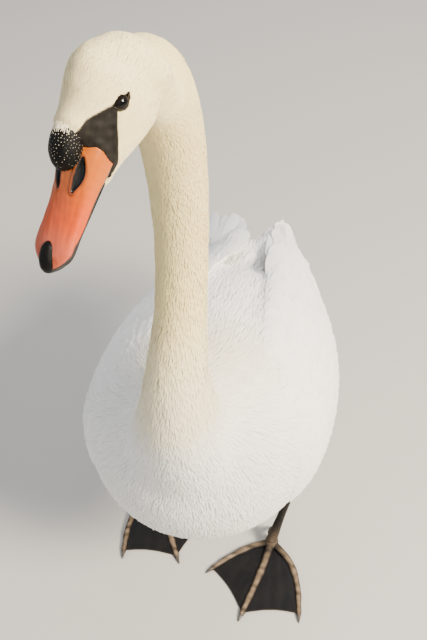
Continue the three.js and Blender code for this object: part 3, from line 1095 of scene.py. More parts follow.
LORE = np.array(
    [(3.2, 4.6), (8.7, 8.5), (14.7, 11.6), (20.7, 14.2), (25.1, 15.2), (30, 15), (36, 17), (46, 10)]
    + [(46, -29), (34, -27), (31.2, -23.5), (26.4, -17.0), (21.4, -12.2), (14.9, -5.2), (7.6, 0.4)]
)
CREAM, WHITE, BUFF = np.array([(0.89, 0.72, 0.34), (0.92, 0.905, 0.872), (0.80, 0.58, 0.24)])
COVERT_WHITE, FLIGHT_WHITE, CORE_WHITE = (0.90, 0.888, 0.862), (0.90, 0.892, 0.87), (0.86, 0.85, 0.82)
BARE_BLACK, RIM_BLACK, RIM_PALE = np.array(
    [(0.0115, 0.0098, 0.008), (0.004, 0.0037, 0.0035), (0.06, 0.048, 0.034)]
)
LID_DOWN, FLECK = np.array([0.85, 0.74, 0.52]), (0.86, 0.77, 0.57)
PUPIL, IRIS = np.array([(0.0012, 0.001, 0.001), (0.005, 0.0028, 0.002)])
ORANGE, CORAL, PINK, EDGE_BLACK = np.array(
    [(0.40, 0.088, 0.0), (0.47, 0.052, 0.0), (0.42, 0.085, 0.04), (0.012, 0.011, 0.012)]
)
CLAW_DARK, CLAW_RISE = np.array([(0.03, 0.026, 0.024), (0.05, 0.04, 0.03)])


def polygon_distance(points: Array, outline: Array) -> Array:
    """Signed distance to a polygon's edge in the plane; negative inside.

    Args:
        points: Places in the plane.
        outline: The polygon's corners in order.

    Returns:
        A distance for each place.
    """
    best = np.full(len(points), 1e9)
    inside = np.zeros(len(points), bool)
    for a, b in zip(outline, np.roll(outline, -1, 0)):
        span = b - a
        share = np.clip((points - a) @ span / (span @ span), 0, 1)[:, None]
        best = np.minimum(best, np.linalg.norm(points - a - share * span, axis=1))
        crosses = (a[1] > points[:, 1]) != (b[1] > points[:, 1])
        rise = b[1] - a[1] if b[1] != a[1] else 1e-9
        inside ^= crosses & (points[:, 0] < a[0] + (points[:, 1] - a[1]) * span[0] / rise)
    return np.where(inside, -best, best)


@dataclass(frozen=True)
class EyeSocket:
    """One eye's place, axis and the opening of its lids.

    The opening is rounded in front and below, pointed behind and flat under the brow.
    """

    side: Side
    centre: Triple = (18.9, 0.3, 0.3)
    radius: float = 6.6
    front: float = 5.6
    rear: float = 7.2
    high: float = 2.6
    low: float = 4.5
    bow: float = 0.033
    corner: float = 1.6

    def frame(self) -> tuple[Array, Array]:
        """The centre in head coordinates, and rows: along the slit, across it, outwards.

        Returns:
            The centre, and the three unit vectors.
        """
        sign = np.array([self.side.value, 1, 1])
        out = unit(np.array([0.95, 0.13, 0.28]))
        along = across(np.array([0.0, 0.88, 0.45]), out)
        return np.array(self.centre) * sign, np.array([along, np.cross(out, along), out]) * sign

    def local(self, points: Array) -> Array:
        """Along, across and outward coordinates of build-frame points."""
        centre, axes = self.frame()
        return (HEAD.into(points) - centre) @ axes.T

    def out(self, local: Array) -> Array:
        """Build-frame points of local coordinates.

        Args:
            local: Along, across and outward from the eye's centre.

        Returns:
            Points in the build frame.
        """
        centre, axes = self.frame()
        head = centre + local @ axes
        return HEAD.out(head[..., 0], head[..., 1], head[..., 2])

    def edge(self, angle: Array, wide: float) -> tuple[Array, Array]:
        """The opening's outline, grown by a share: along and across.

        Args:
            angle: Where each point is round the opening.
            wide: Size as a share of the opening's.

        Returns:
            Places along and across.
        """
        c, s = np.cos(angle), np.sin(angle)
        power = 2 / self.corner
        a = bent(c, power) * np.where(c > 0, self.front, self.rear) * wide
        b = bent(s, power) * np.where(s > 0, self.high, self.low) * wide
        return a, b + self.bow * a * a

    def reach(self, local: Array) -> Array:
        """1 on the opening's edge, less inside it, more outside.

        Args:
            local: Along, across and outward from the eye's centre.

        Returns:
            A share for each point; 9 behind the eye's centre.
        """
        a, b = local[..., 0], local[..., 1] - self.bow * np.clip(local[..., 0], -12, 12) ** 2
        along = np.abs(a) / np.where(a > 0, self.front, self.rear)
        athwart = np.abs(b) / np.where(b > 0, self.high, self.low)
        share = (along**self.corner + athwart**self.corner) ** (1 / self.corner)
        return np.where(local[..., 2] > 0, share, 9.0)


EYES = (EyeSocket(Side.LEFT), EyeSocket(Side.RIGHT))


class Regions:
    """What the coat does at each point: where it belongs, which way it lies, how long and deep it is."""

    def __init__(self, points: Array, flesh: Flesh) -> None:
        """Works out every value for the points.

        Args:
            points: Build-frame points on the skin.
            flesh: The forms under it.
        """
        _, y, z = points.T
        self.points = points
        self.head_at = HEAD.into(points)
        _, f, u = self.head_at.T
        reach = np.linalg.norm(self.head_at - (0, 0, -12), axis=1)
        self.head = ramp(-46, -28, f) * ramp(92, 76, reach)
        self.neck = ramp(425, 500, z) * ramp(-45, -105, y) * (1 - self.head)
        self.trunk = np.clip(1 - self.head - self.neck, 0, 1)
        legs = [self._leg_weight(points, leg) for leg in LEGS]
        self.thigh = np.maximum(*legs)
        path = flesh.neck_path()
        share = np.linspace(0, 1, 500)
        line = path.point(share)
        parts = np.array_split(points, 60)
        nearest = [np.argmin(((part[:, None] - line[None]) ** 2).sum(-1), 1) for part in parts]
        self.share = share[np.concatenate(nearest)]
        down_neck = -path.tangent(self.share)
        forward = HEAD.axes()[1]
        drop = 0.12 + 1.7 * ramp(-70, -215, y)
        trunk_way = unit(vec(0, 1, -drop))
        leg_way = sum(
            w[:, None] * unit(np.array(leg.hock, float) - np.array(leg.hip, float) + (0, 10, 0))
            for w, leg in zip(legs, LEGS)
        )
        self.way = self._over(-forward, down_neck, trunk_way)
        self.way = unit(self.way * (1 - self.thigh[:, None]) + leg_way)
        rear, nape, low_neck = ramp(-200, 140, y), ramp(22, -38, f), ramp(850, 480, z)
        length = self._over(4.2 + 5.4 * nape, 9.6 + 7.5 * ramp(880, 560, z), 21 + 15 * rear)
        depth = self._over(0.7 + 0.7 * ramp(20, -30, f), 1.2 + 0.5 * ramp(850, 600, z), 2.3 + 1.1 * rear)
        self.length = length * (1 - 0.55 * self.thigh)
        self.depth = depth * (1 - 0.4 * self.thigh)
        self.half = self._over(0.5 + 0.35 * nape, 0.85 + 0.5 * low_neck, 1.6 + 0.9 * rear)
        self.gap = self._over(0.75 + 0.65 * nape, 1.22 + 0.42 * low_neck, 1.95 + 0.95 * rear)
        self.lore = polygon_distance(vec(f, u), LORE) + np.where(self.head > 0.5, 0, 50)
        self.eye = np.minimum(*[eye.reach(eye.local(points)) for eye in EYES])

    def _over(self, head: Array, neck: Array, trunk: Array) -> Array:
        """Three regions' own values, each by its weight at the point.

        Args:
            head: The head's value.
            neck: The neck's.
            trunk: The trunk's.

        Returns:
            The weighted sum at each point.
        """
        weights = (self.head, self.neck, self.trunk)
        if np.ndim(neck) > 1:
            weights = tuple(w[:, None] for w in weights)
        return weights[0] * head + weights[1] * neck + weights[2] * trunk

    @staticmethod
    def _leg_weight(points: Array, leg: Leg) -> Array:
        """How far points belong to one thigh, below the belly.

        Args:
            points: Build-frame points.
            leg: Whose thigh.

        Returns:
            A share for each point.
        """
        hip, hock = np.array(leg.hip, float), np.array(leg.hock, float)
        share = np.clip((points - hip) @ (hock - hip) / np.sum((hock - hip) ** 2), 0, 1)
        off = np.linalg.norm(points - hip - share[:, None] * (hock - hip), axis=1)
        return ramp(0.42, 0.62, share) * ramp(42, 30, off)

    def bare(self) -> Array:
        """How far each point is bare black skin, 0 to 1."""
        return np.maximum(ramp(0.9, -0.2, self.lore), ramp(1.42, 1.34, self.eye))

    def tint(self) -> Array:
        """The plumage's colour: creamy on head and neck, near white on the body, a little darker along the coat's
        furrows as painted shade.

        Returns:
            A colour for each point.
        """
        low_neck = 0.55 + 0.45 * ramp(480, 640, self.points[:, 2])
        weight = np.clip(self.neck * low_neck + 0.85 * self.head, 0, 1)[:, None]
        stain = 0.25 * ramp(0.1, 0.8, ripple(self.points, 60, 5))[:, None] * weight
        # Painted shade: the tint is about 3 percent darker where the streaks are low, which is where the coat's
        # feathers lie lower, in the neck's furrows between clumps.
        shade = (1 + 0.03 * self.streaks())[:, None]
        return (mixed(WHITE, CREAM, weight) + stain * (BUFF - CREAM)) * shade

    def streaks(self) -> Array:
        """Soft streaks along the neck and faint clouds elsewhere, about -1 to 1; where they are low the feathers lie
        lower and the tint is darker, as painted shade in the furrows.
        """
        long = self.neck[:, None]
        return ripple(self.points * ((1, 1, 1) - long * (0, 0, 0.82)), 9, 8)

    def unwrap(self) -> Array:
        """Each point's place on an unwrap of the skin, one island a region.

        Returns:
            A place for each point.
        """
        x, y, z = self.points.T
        l, f, u = self.head_at.T

        def turned(a: Array, b: Array) -> Array:
            """Place round an axis as a share of the unwrap."""
            return 0.46 * (np.arctan2(a, b) / (2 * np.pi) + 0.5)

        line_y = -175 - 40 * ramp(650, 850, z) + 22 * bell(z, 670, 90)
        beside = 0.92 + 0.03 * np.sign(x) + 0.02 * np.clip(y / 100, -1, 1)
        islands = [
            vec(0.02 + turned(x, z - 325), 0.02 + 0.58 * np.clip((y + 240) / 560, 0, 1)),
            vec(0.52 + turned(x + 4, y - line_y), 0.02 + 0.58 * self.share),
            vec(0.02 + turned(l, u + 12), 0.64 + 0.34 * np.clip((f + 70) / 140, 0, 1)),
            vec(beside, 0.64 + 0.34 * np.clip(z / 260, 0, 1)),
        ]
        weights = [self.trunk * (1 - self.thigh), self.neck, self.head, self.thigh]
        return np.choose(np.argmax(np.stack(weights), 0)[:, None], islands)


# ---- skin

DRAW, SWELL = 0.55, -0.5

# Each ring of a lid: share of the opening, height over the eyeball and height over the skin.
LID_RINGS: Table = (
    (0.97, -1.0, -1.4),
    (0.965, 0.05, -0.3),
    (0.985, 0.3, 0.05),
    (1.04, 0.45, 0.3),
    (1.1, 0.42, 0.36),
    (1.18, 0.2, 0.22),
    (1.28, -0.3, 0.1),
    (1.42, -9, 0.0),
    (1.6, -9, -0.5),
)


@dataclass
class Skin:
    """The one skin over trunk, neck, head, thighs and the arms in the wings."""

    flesh: Flesh = field(default_factory=Flesh)
    voxel: float = 4.0
    smoothing: int = 9
    obj: Object | None = None

    def build(self) -> Object:
        """Makes the skin: forms made one, smoothed, let in by the coat's depth, finer on the head.

        Returns:
            The skin's object.
        """
        forms = self.flesh.forms()
        rough = mesh_object("rough", forms[0].joined(*forms[1:]))
        remesh = rough.modifiers.new("remesh", "REMESH")
        remesh.mode, remesh.voxel_size = "VOXEL", self.voxel * MM
        self.obj = settled(rough, "skin")
        self._keep_largest()
        self._relax(self.smoothing)
        self._fill_creases()
        self._refine(lambda h: (np.linalg.norm(h - (0, 14, -6), axis=1) < 46) & (h[:, 1] > -12))
        self._relax(3)
        self._refine(
            lambda h: (np.linalg.norm(h - (0, 16, -4), axis=1) < 36) & (h[:, 1] > -9) & (np.abs(h[:, 0]) > 6)
        )
        self._relax(2)
        self._let_in()
        self._sculpt_head()
        return self.obj

    def _points(self) -> Array:
        """The vertices in the build frame."""
        return PLACE.build(read(self.obj.data.vertices, "co", 3))

    def _store(self, points: Array) -> None:
        """Puts the vertices back."""
        self.obj.data.vertices.foreach_set("co", PLACE.row(points).astype(np.float32).ravel())
        self.obj.data.update()

    def _keep_largest(self) -> None:
        """Removes loose crumbs left by the remesh."""
        with edited(self.obj.data) as mesh:
            left, groups = set(mesh.verts), []
            while left:
                stack, group = [left.pop()], []
                while stack:
                    vert = stack.pop()
                    group.append(vert)
                    found = {edge.other_vert(vert) for edge in vert.link_edges} & left
                    left -= found
                    stack += found
                groups.append(group)
            groups.sort(key=len)
            crumbs = [vert for group in groups[:-1] for vert in group]
            bmesh.ops.delete(mesh, geom=crumbs, context="VERTS")

    def _neighbours(self) -> Callable[[Array], Array]:
        """A function that gives the mean of each vertex's neighbours.

        Returns:
            The function.
        """
        mesh = self.obj.data
        a, b = read(mesh.edges, "vertices", 2, np.int32).T
        ends, others, size = np.concatenate([a, b]), np.concatenate([b, a]), len(mesh.vertices)
        count = np.bincount(ends, minlength=size)[:, None]

        def mean(points: Array) -> Array:
            """The mean of the neighbours of each point."""
            return np.stack([np.bincount(ends, points[others, k], size) for k in range(3)], -1) / count

        return mean

    def _relax(self, times: int) -> None:
        """Smooths the vertices: draws them towards their neighbours and swells them back, by turns.

        Args:
            times: How many pairs of turns.
        """
        mean, points = self._neighbours(), self._points()
        for step in range(times * 2):
            points = points + (SWELL if step % 2 else DRAW) * (mean(points) - points)
        self._store(points)

    def _fill_creases(self, times: int = 110, others: int = 45, even: int = 6) -> None:
        """Fills the creases at the nape and the brow and where the wings lie on the back.

        Args:
            times: Rounds of filling at the nape.
            others: Rounds of filling at the other places.
            even: Rounds at the end that smooth the nape both ways.
        """
        mean, points = self._neighbours(), self._points()
        _, f, u = HEAD.into(points).T
        x, y, z = points.T
        nape = ramp(-10, -24, f) * ramp(-90, -60, u) * ramp(-50, -30, u - 0.6 * (f + 60))
        brow = ramp(8, 16, f) * ramp(34, 28, f) * ramp(4, 9, u)
        back = ramp(300, 340, z) * ramp(120, 60, y) * ramp(560, 520, z)
        rump = ramp(375, 390, z) * ramp(50, 90, y) * ramp(215, 185, y) * ramp(56, 34, np.abs(x - 4))
        share = np.maximum.reduce([nape, back, brow, rump])
        for turn in range(times + even):
            around = mean(points)
            if turn % 4 == 0:
                self._store(points)
                normals = vertex_normals(shape_of(self.obj.data))
            out = np.sum((around - points) * normals, 1)
            step = nape * out if turn >= times else (share if turn < others else nape) * np.maximum(out, 0)
            points = points + 0.6 * normals * step[:, None]
        self._store(points)

    def _refine(self, chosen: Callable[[Array], Array]) -> None:
        """Divides the edges in a part of the head.

        Args:
            chosen: Tells which head coordinates are in that part.
        """
        inside = chosen(HEAD.into(self._points()))
        with edited(self.obj.data) as mesh:
            mesh.verts.ensure_lookup_table()
            edges = [e for e in mesh.edges if inside[e.verts[0].index] and inside[e.verts[1].index]]
            bmesh.ops.subdivide_edges(mesh, edges=edges, cuts=1, use_grid_fill=True)

    def _let_in(self) -> None:
        """Moves the skin in by the coat's depth, never by more than a third of what lies behind it."""
        shape = shape_of(self.obj.data)
        normals = vertex_normals(shape)
        tree = BVHTree.FromPolygons(shape.verts.tolist(), shape.faces.tolist())
        rays = zip(shape.verts, normals)
        behind = np.array([tree.ray_cast(Vector(p - n * 0.3), Vector(-n), 60)[3] or 60 for p, n in rays])
        regions = Regions(shape.verts, self.flesh)
        depth = np.minimum(regions.depth * (1 - 0.7 * regions.bare()), behind * 0.3)
        self._store(shape.verts - normals * depth[:, None])

    def _sculpt_head(self) -> None:
        """Hollows the lores a little and opens the eyelids."""
        shape = shape_of(self.obj.data)
        points, normals = shape.verts, vertex_normals(shape)
        regions = Regions(points, self.flesh)
        hollow = 0.9 * ramp(0, -5, regions.lore) * ramp(34, 26, regions.head_at[:, 1])
        crease = 0.25 * ripple(regions.head_at * (1, 0.5, 1.4), 5.0, 3) * ramp(0.5, -2, regions.lore)
        points = points - normals * (hollow + crease)[:, None]
        for eye in EYES:
            local = eye.local(points)
            reach = eye.reach(local)
            sink = ramp(1.22, 1.05, reach)
            local[:, 2] = mixed(local[:, 2], np.minimum(local[:, 2], 1.0), sink)
            near = reach < 1.3
            points[near] = eye.out(local[near])
        self._store(points)

    def lids(self) -> Shape:
        """Both eyes' lids: a rounded rim on the eyeball that runs out under the feathers.

        Returns:
            The shape of both.
        """
        points = self._points()
        made = []
        for eye in EYES:
            local = eye.local(points)
            reach = eye.reach(local)
            around = local[(reach > 1.3) & (reach < 2.3) & (np.abs(local[:, 2] - 4) < 6)]

            def terms(a: Array, b: Array) -> Array:
                """The terms of a quadric at a and b."""
                return vec(1 + 0 * a, a, b, a * a, a * b, b * b)

            fit = np.linalg.lstsq(terms(around[:, 0], around[:, 1]), around[:, 2], rcond=None)[0]
            angle, rings = ring_angles(96), []
            for wide, lift, skin in LID_RINGS:
                a, b = eye.edge(angle, wide)
                ball = np.sqrt(np.maximum((eye.radius + max(lift, -1)) ** 2 - a * a - b * b, 0))
                level = terms(a, b) @ fit + skin
                share = ramp(1.05, 1.3, np.full(96, wide))
                rings.append(eye.out(vec(a, b, np.maximum(mixed(ball, level, share), level))))
            inward = (eye.out(np.zeros((1, 3))) - eye.out(np.array([[0, 0, 1.0]])))[0]
            rings = np.array(rings)
            under = rings[-1:] + inward * 1.2
            caps = [np.repeat(p.mean(1, keepdims=True), 96, 1) for p in (rings[:1] + inward, under)]
            made.append(grid_shape(np.concatenate([caps[0], rings, under, caps[1]])))
        return made[0].joined(made[1])


# ---- vanes


@dataclass(frozen=True)
class Vane:
    """The cut of one sort of feather: a closed thin vane with rings of a few points.

    `along` are shares of its length where a ring lies, and `width` the half width there as a share
    of the whole. `thick` is the height of its section in millimetres, a low roof for small feathers,
    or with `broad` a wider one with a shaft. `camber` bends it across, and `fray` makes its edges uneven.
    """

    along: tuple[float, ...]
    width: tuple[float, ...]
    thick: float
    broad: bool = False
    camber: float = 0.0
    fray: float = 0.0

    @property
    def section(self) -> Array:
        """Across and rise of each point of a ring, the underside last.

        Returns:
            A row for each point of the ring.
        """
        if self.broad:
            left = [(-1, 0), (-0.6, 0.75), (-0.09, 1.0)]
            return np.array([*left, (0, 2.1), *[(-a, b) for a, b in left[::-1]], (0, -0.3)])
        return np.array([(-1, 0), (0, 1), (1, 0)])


TUFT = Vane((0, 0.4, 0.78, 1), (0.6, 1, 0.66, 0), 0.2, fray=0.06)
DOWNY = Vane((0, 0.34, 0.7, 0.9, 1), (0.5, 1, 0.94, 0.6, 0), 0.25, camber=0.1, fray=0.05)
COVERT = Vane(
    (0, 0.16, 0.34, 0.52, 0.68, 0.81, 0.9, 0.96, 1),
    (0.3, 0.72, 0.94, 1, 0.98, 0.86, 0.66, 0.42, 0),
    *(0.5, True, 0.1, 0.03),
)
POINTED = Vane(
    (0, 0.12, 0.26, 0.42, 0.56, 0.68, 0.78, 0.87, 0.94, 1),
    (0.2, 0.6, 0.9, 1, 0.95, 0.82, 0.64, 0.43, 0.22, 0),
    *(0.7, True, 0.12, 0.02),
)
FLIGHT = Vane(
    (0, 0.1, 0.22, 0.34, 0.46, 0.58, 0.7, 0.8, 0.88, 0.94, 0.98, 1),
    (0.2, 0.5, 0.8, 0.95, 1, 1, 0.97, 0.88, 0.72, 0.5, 0.26, 0),
    *(0.7, True, 0.12, 0.02),
)


@dataclass
class Feathers:
    """Many vanes as arrays: each one's centre line, ups, half width, tint and place on the unwrap."""

    vane: Vane
    centre: Array
    up: Array
    half: Array
    tint: Array
    root: Array
    seed: int = 1

    def build(self, name: str, material: Material) -> Object:
        """Makes one object of all the vanes, with its tints, its unwrap and its soft normals.

        Args:
            name: Name of the object.
            material: Its finish.

        Returns:
            The object.
        """
        rng = np.random.default_rng(self.seed)
        count, rings = self.centre.shape[:2]
        section = self.vane.section
        size = len(section)
        width = np.array(self.vane.width)[None, :, None] * self.half[:, None, None]
        fray = 1 + self.vane.fray * rng.normal(size=(count, rings, size))
        heading = unit(np.gradient(self.centre, axis=1))
        side = unit(np.cross(heading, self.up))
        reach, rise = section[:, 0], section[:, 1]
        wide = width * reach * fray
        taper = np.minimum(1, np.array(self.vane.width) * 1.6 + 0.25)[None, :, None]
        high = self.vane.thick * rise * taper - self.vane.camber * width * np.abs(reach) ** 2
        points = rings_about(self.centre, side, self.up, wide, high)
        body = points[:, :-1].reshape(count, -1, 3)
        verts = np.concatenate([body, self.centre[:, -1:]], 1)
        tris, under = self._faces(rings, size)
        each = verts.shape[1]
        faces = (tris[None] + (np.arange(count) * each)[:, None, None]).reshape(-1, 3)
        shape = Shape(verts.reshape(-1, 3), faces)
        probe = Shape(verts[: min(count, 60)].reshape(-1, 3), faces[: min(count, 60) * len(tris)])
        if probe.volume() < 0:
            shape.faces = shape.faces[:, ::-1].copy()
        made = mesh_object(name, shape, material)
        self._dress(made, count, side, under)
        return made

    def _faces(self, rings: int, size: int) -> tuple[Array, Array]:
        """One vane's triangles and which of them are its underside.

        Args:
            rings: How many rings a vane has, its tip counted.
            size: How many points make a ring.

        Returns:
            The triangles, and whether each is underneath.
        """
        tris, under = [], []
        tip = (rings - 1) * size
        for ring in range(rings - 1):
            for j in range(size):
                k, below = (j + 1) % size, (j >= size - 2 if self.vane.broad else j == size - 1)
                a, b = ring * size + j, ring * size + k
                if ring == rings - 2:
                    tris.append((a, b, tip))
                    under.append(below)
                else:
                    tris += [(a, b, b + size), (a, b + size, a + size)]
                    under += [below, below]
        tris += [(0, j + 1, j) for j in range(1, size - 1)]
        under += [True] * (size - 2)
        return np.array(tris), np.array(under)

    def _dress(self, made: Object, count: int, side: Array, under: Array) -> None:
        """Adds tints, UV maps and normals.

        Args:
            made: The object of all the vanes.
            count: How many vanes.
            side: Sideways direction at each ring.
            under: Which of a vane's triangles are underneath.
        """
        rings = len(self.vane.along)
        reach = np.tile(self.vane.section[:, 0], rings - 1)
        reach = np.append(reach, 0.0)
        share = np.append(np.repeat(self.vane.along[:-1], len(self.vane.section)), 1.0)
        lit = 1 - 0.10 * (1 - share) - 0.02 * np.abs(reach)
        paint(made, "Tint", (self.tint[:, None] * lit[None, :, None]).reshape(-1, 3))
        uv = vec(0.5 + 0.5 * reach, share)
        uv_layer(made, "Vane", np.tile(uv, (count, 1)))
        patch = (uv - 0.5) * 0.003
        uv_layer(made, "OFBake", (self.root[:, None] + patch[None]).reshape(-1, 2))
        made.data.uv_layers.active = made.data.uv_layers["OFBake"]
        made.data.uv_layers["OFBake"].active_render = True
        lean = 0.16 if self.vane.broad else 0.3

        def over(rings: Array) -> Array:
            """Values at the rings as values at the vertices."""
            return np.concatenate([np.repeat(rings[:, :-1], len(self.vane.section), 1), rings[:, -1:]], 1)

        normals = unit(over(self.up) + over(side) * (reach * lean)[None, :, None]).reshape(-1, 3)
        loops = normals[corners(made)]
        loops[np.repeat(np.tile(under, count), 3)] *= -1
        made.data.normals_split_custom_set(loops.tolist())


def spaced(points: Array, gaps: Array) -> Array:
    """Picks points so that none lies nearer to another than its gap.

    Args:
        points: Candidates in random order.
        gaps: The least distance at each.

    Returns:
        Indices of the points kept.
    """
    cell = float(gaps.max())
    keys = np.floor(points / cell).astype(int).tolist()
    plain, squares = points.tolist(), (gaps**2).tolist()
    grid: dict[tuple[int, int, int], list[int]] = {}
    around = [(a, b, c) for a in (-1, 0, 1) for b in (-1, 0, 1) for c in (-1, 0, 1)]
    kept = []
    for i, (x, y, z) in enumerate(plain):
        kx, ky, kz = keys[i]
        near = (plain[j] for a, b, c in around for j in grid.get((kx + a, ky + b, kz + c), ()))
        if all((x - px) ** 2 + (y - py) ** 2 + (z - pz) ** 2 >= squares[i] for px, py, pz in near):
            grid.setdefault((kx, ky, kz), []).append(i)
            kept.append(i)
    return np.array(kept, int)


def scattered(
    shape: Shape, count: int, weight: Array, rng: np.random.Generator
) -> tuple[Array, Array, Array]:
    """Random points over a surface.

    Args:
        shape: The surface, in triangles.
        count: How many.
        weight: How wanted each face is.
        rng: Random numbers.

    Returns:
        Points, the faces they lie on, and their weights to the faces' corners.
    """
    a, b, c = (shape.verts[shape.faces[:, i]] for i in range(3))
    area = np.linalg.norm(np.cross(b - a, c - a), axis=1) * weight
    face = rng.choice(len(area), count, p=area / area.sum())
    r, s = np.sqrt(rng.random(count)), rng.random(count)
    mix = vec(1 - r, r * (1 - s), r * s)
    return np.einsum("nk,nkd->nd", mix, shape.verts[shape.faces[face]]), face, mix


@dataclass
class Bed:
    """The surface that feathers grow from and lie along."""

    shape: Shape
    flesh: Flesh
    tree: BVHTree = field(init=False)
    normals: Array = field(init=False)
    regions: Regions = field(init=False)
    ways: Array = field(init=False)

    def __post_init__(self) -> None:
        """Prepares the search tree, the normals and a smooth field of directions."""
        self.tree = BVHTree.FromPolygons(self.shape.verts.tolist(), self.shape.faces.tolist())
        self.normals = vertex_normals(self.shape)
        self.regions = Regions(self.shape.verts, self.flesh)
        ways = across(self.regions.way, self.normals)
        a, b = np.vstack([self.shape.faces[:, pair] for pair in ([0, 1], [1, 2], [2, 0])]).T
        for _ in range(14):
            total = np.stack([np.bincount(a, ways[b, k], len(ways)) for k in range(3)], -1)
            ways = across(ways + total / 3, self.normals)
        self.ways = ways

    def at(self, values: Array, face: Array, mix: Array) -> Array:
        """Vertex values at sampled points."""
        picked = values[self.shape.faces[face]]
        return np.einsum("nk,nk...->n...", mix, picked)

    def laid(self, root: Array, way: Array, length: Array, vane: Vane, rise: Array) -> tuple[Array, Array]:
        """Centre lines that start at the roots and follow the surface, rising to their depth at the tip.

        Args:
            root: Starting points.
            way: Unit directions there.
            length: Lengths.
            vane: The cut, for the shares along.
            rise: Height of each tip over the surface.

        Returns:
            Centre lines and upward normals, each count x rings x 3.
        """
        points, find = root.copy(), self.tree.find_nearest
        lines, ups, last = [], [], 0.0
        for share in vane.along:
            points = points + way * (length * (share - last))[:, None]
            last = share
            found = [find(Vector(p)) for p in points.tolist()]
            points, normal = (np.array([f[k] for f in found]) for k in (0, 1))
            way = across(way, normal)
            ups.append(normal)
            lines.append(points + normal * (rise * (0.25 * share + 0.75 * share**1.25))[:, None])
        up = np.stack(ups, 1)
        smooth = up.copy()
        smooth[:, 1:-1] = up[:, 1:-1] * 2 + up[:, :-2] + up[:, 2:]
        smooth[:, 0] += up[:, 1]
        smooth[:, -1] += up[:, -2]
        return np.stack(lines, 1), unit(smooth)


@dataclass(frozen=True)
class Patch:
    """One part of the coat: where it is, how many roots are tried, and its feathers' cut and ruffle."""

    name: str
    vane: Vane
    tries: int
    where: Callable[[Regions], Array]
    swerve: float = 0.1
    loft: float = 0.15


def wing_cover(points: Array) -> Array:
    """How far points lie where the wings' own feathers cover the body, 0 to 1.

    Args:
        points: Build-frame points.

    Returns:
        A share for each.
    """
    x, y, z = points.T
    side = np.abs(x - 0.05 * (z - 330) - 0.035 * y)
    edge = 60 - 0.2 * y
    upper = ramp(edge + 10, edge + 28, side) * ramp(300, 400, z)
    outer = ramp(258, 276, z) * ramp(100, 112, side)
    return ramp(-112, -92, y) * np.maximum(upper, outer) * ramp(262, 240, y)


def on_neck(least: float, low: float, high: float) -> Callable[[Regions], Array]:
    """Tells where the neck's feathers grow.

    Args:
        least: The least weight of the neck.
        low: The height they begin above.
        high: The height they end at.

    Returns:
        A function that is 1 where they grow and 0 elsewhere.
    """

    def where(r: Regions) -> Array:
        """1 where they grow."""
        height = r.points[:, 2]
        return (r.head < 0.5) * (r.neck >= least) * (height > low) * (height <= high) * 1.0

    return where


def on_trunk(front: float, back: float) -> Callable[[Regions], Array]:
    """Tells where the trunk's feathers grow.

    Args:
        front: Where along the body they begin.
        back: Where they end.

    Returns:
        A function that is 1 where they grow and 0 elsewhere.
    """

    def where(r: Regions) -> Array:
        """1 where they grow."""
        along = r.points[:, 1]
        return (r.neck < 0.35) * (r.thigh < 0.5) * 1.0 * (along >= front) * (along < back)

    return where


BREAST_END, SHOULDERS_END, BODY_END = -168, -60, 90
NECK_LOW_END, NECK_MIDDLE_END = 640, 770
PATCHES = (
    Patch("coat_head", TUFT, 46000, lambda r: (r.head >= 0.5) * (r.neck < 0.5) * 1.0, 0.08, 0.12),
    Patch("coat_neck_top", TUFT, 50000, on_neck(0.1, NECK_MIDDLE_END, math.inf)),
    Patch("coat_neck_middle", TUFT, 44000, on_neck(0.1, NECK_LOW_END, NECK_MIDDLE_END)),
    Patch("coat_neck_low", TUFT, 46000, on_neck(0.35, -math.inf, NECK_LOW_END)),
    Patch("coat_breast", TUFT, 44000, on_trunk(-math.inf, BREAST_END)),
    Patch("coat_shoulders", TUFT, 50000, on_trunk(BREAST_END, SHOULDERS_END)),
    Patch("coat_body", DOWNY, 44000, on_trunk(SHOULDERS_END, BODY_END), 0.07, 0.1),
    Patch("coat_rear", DOWNY, 30000, on_trunk(BODY_END, math.inf), 0.07, 0.1),
    Patch("coat_thighs", TUFT, 12000, lambda r: (r.thigh >= 0.5) * 1.0),
)
LID_EDGE, LASH_CLEAR = 1.38, 1.26


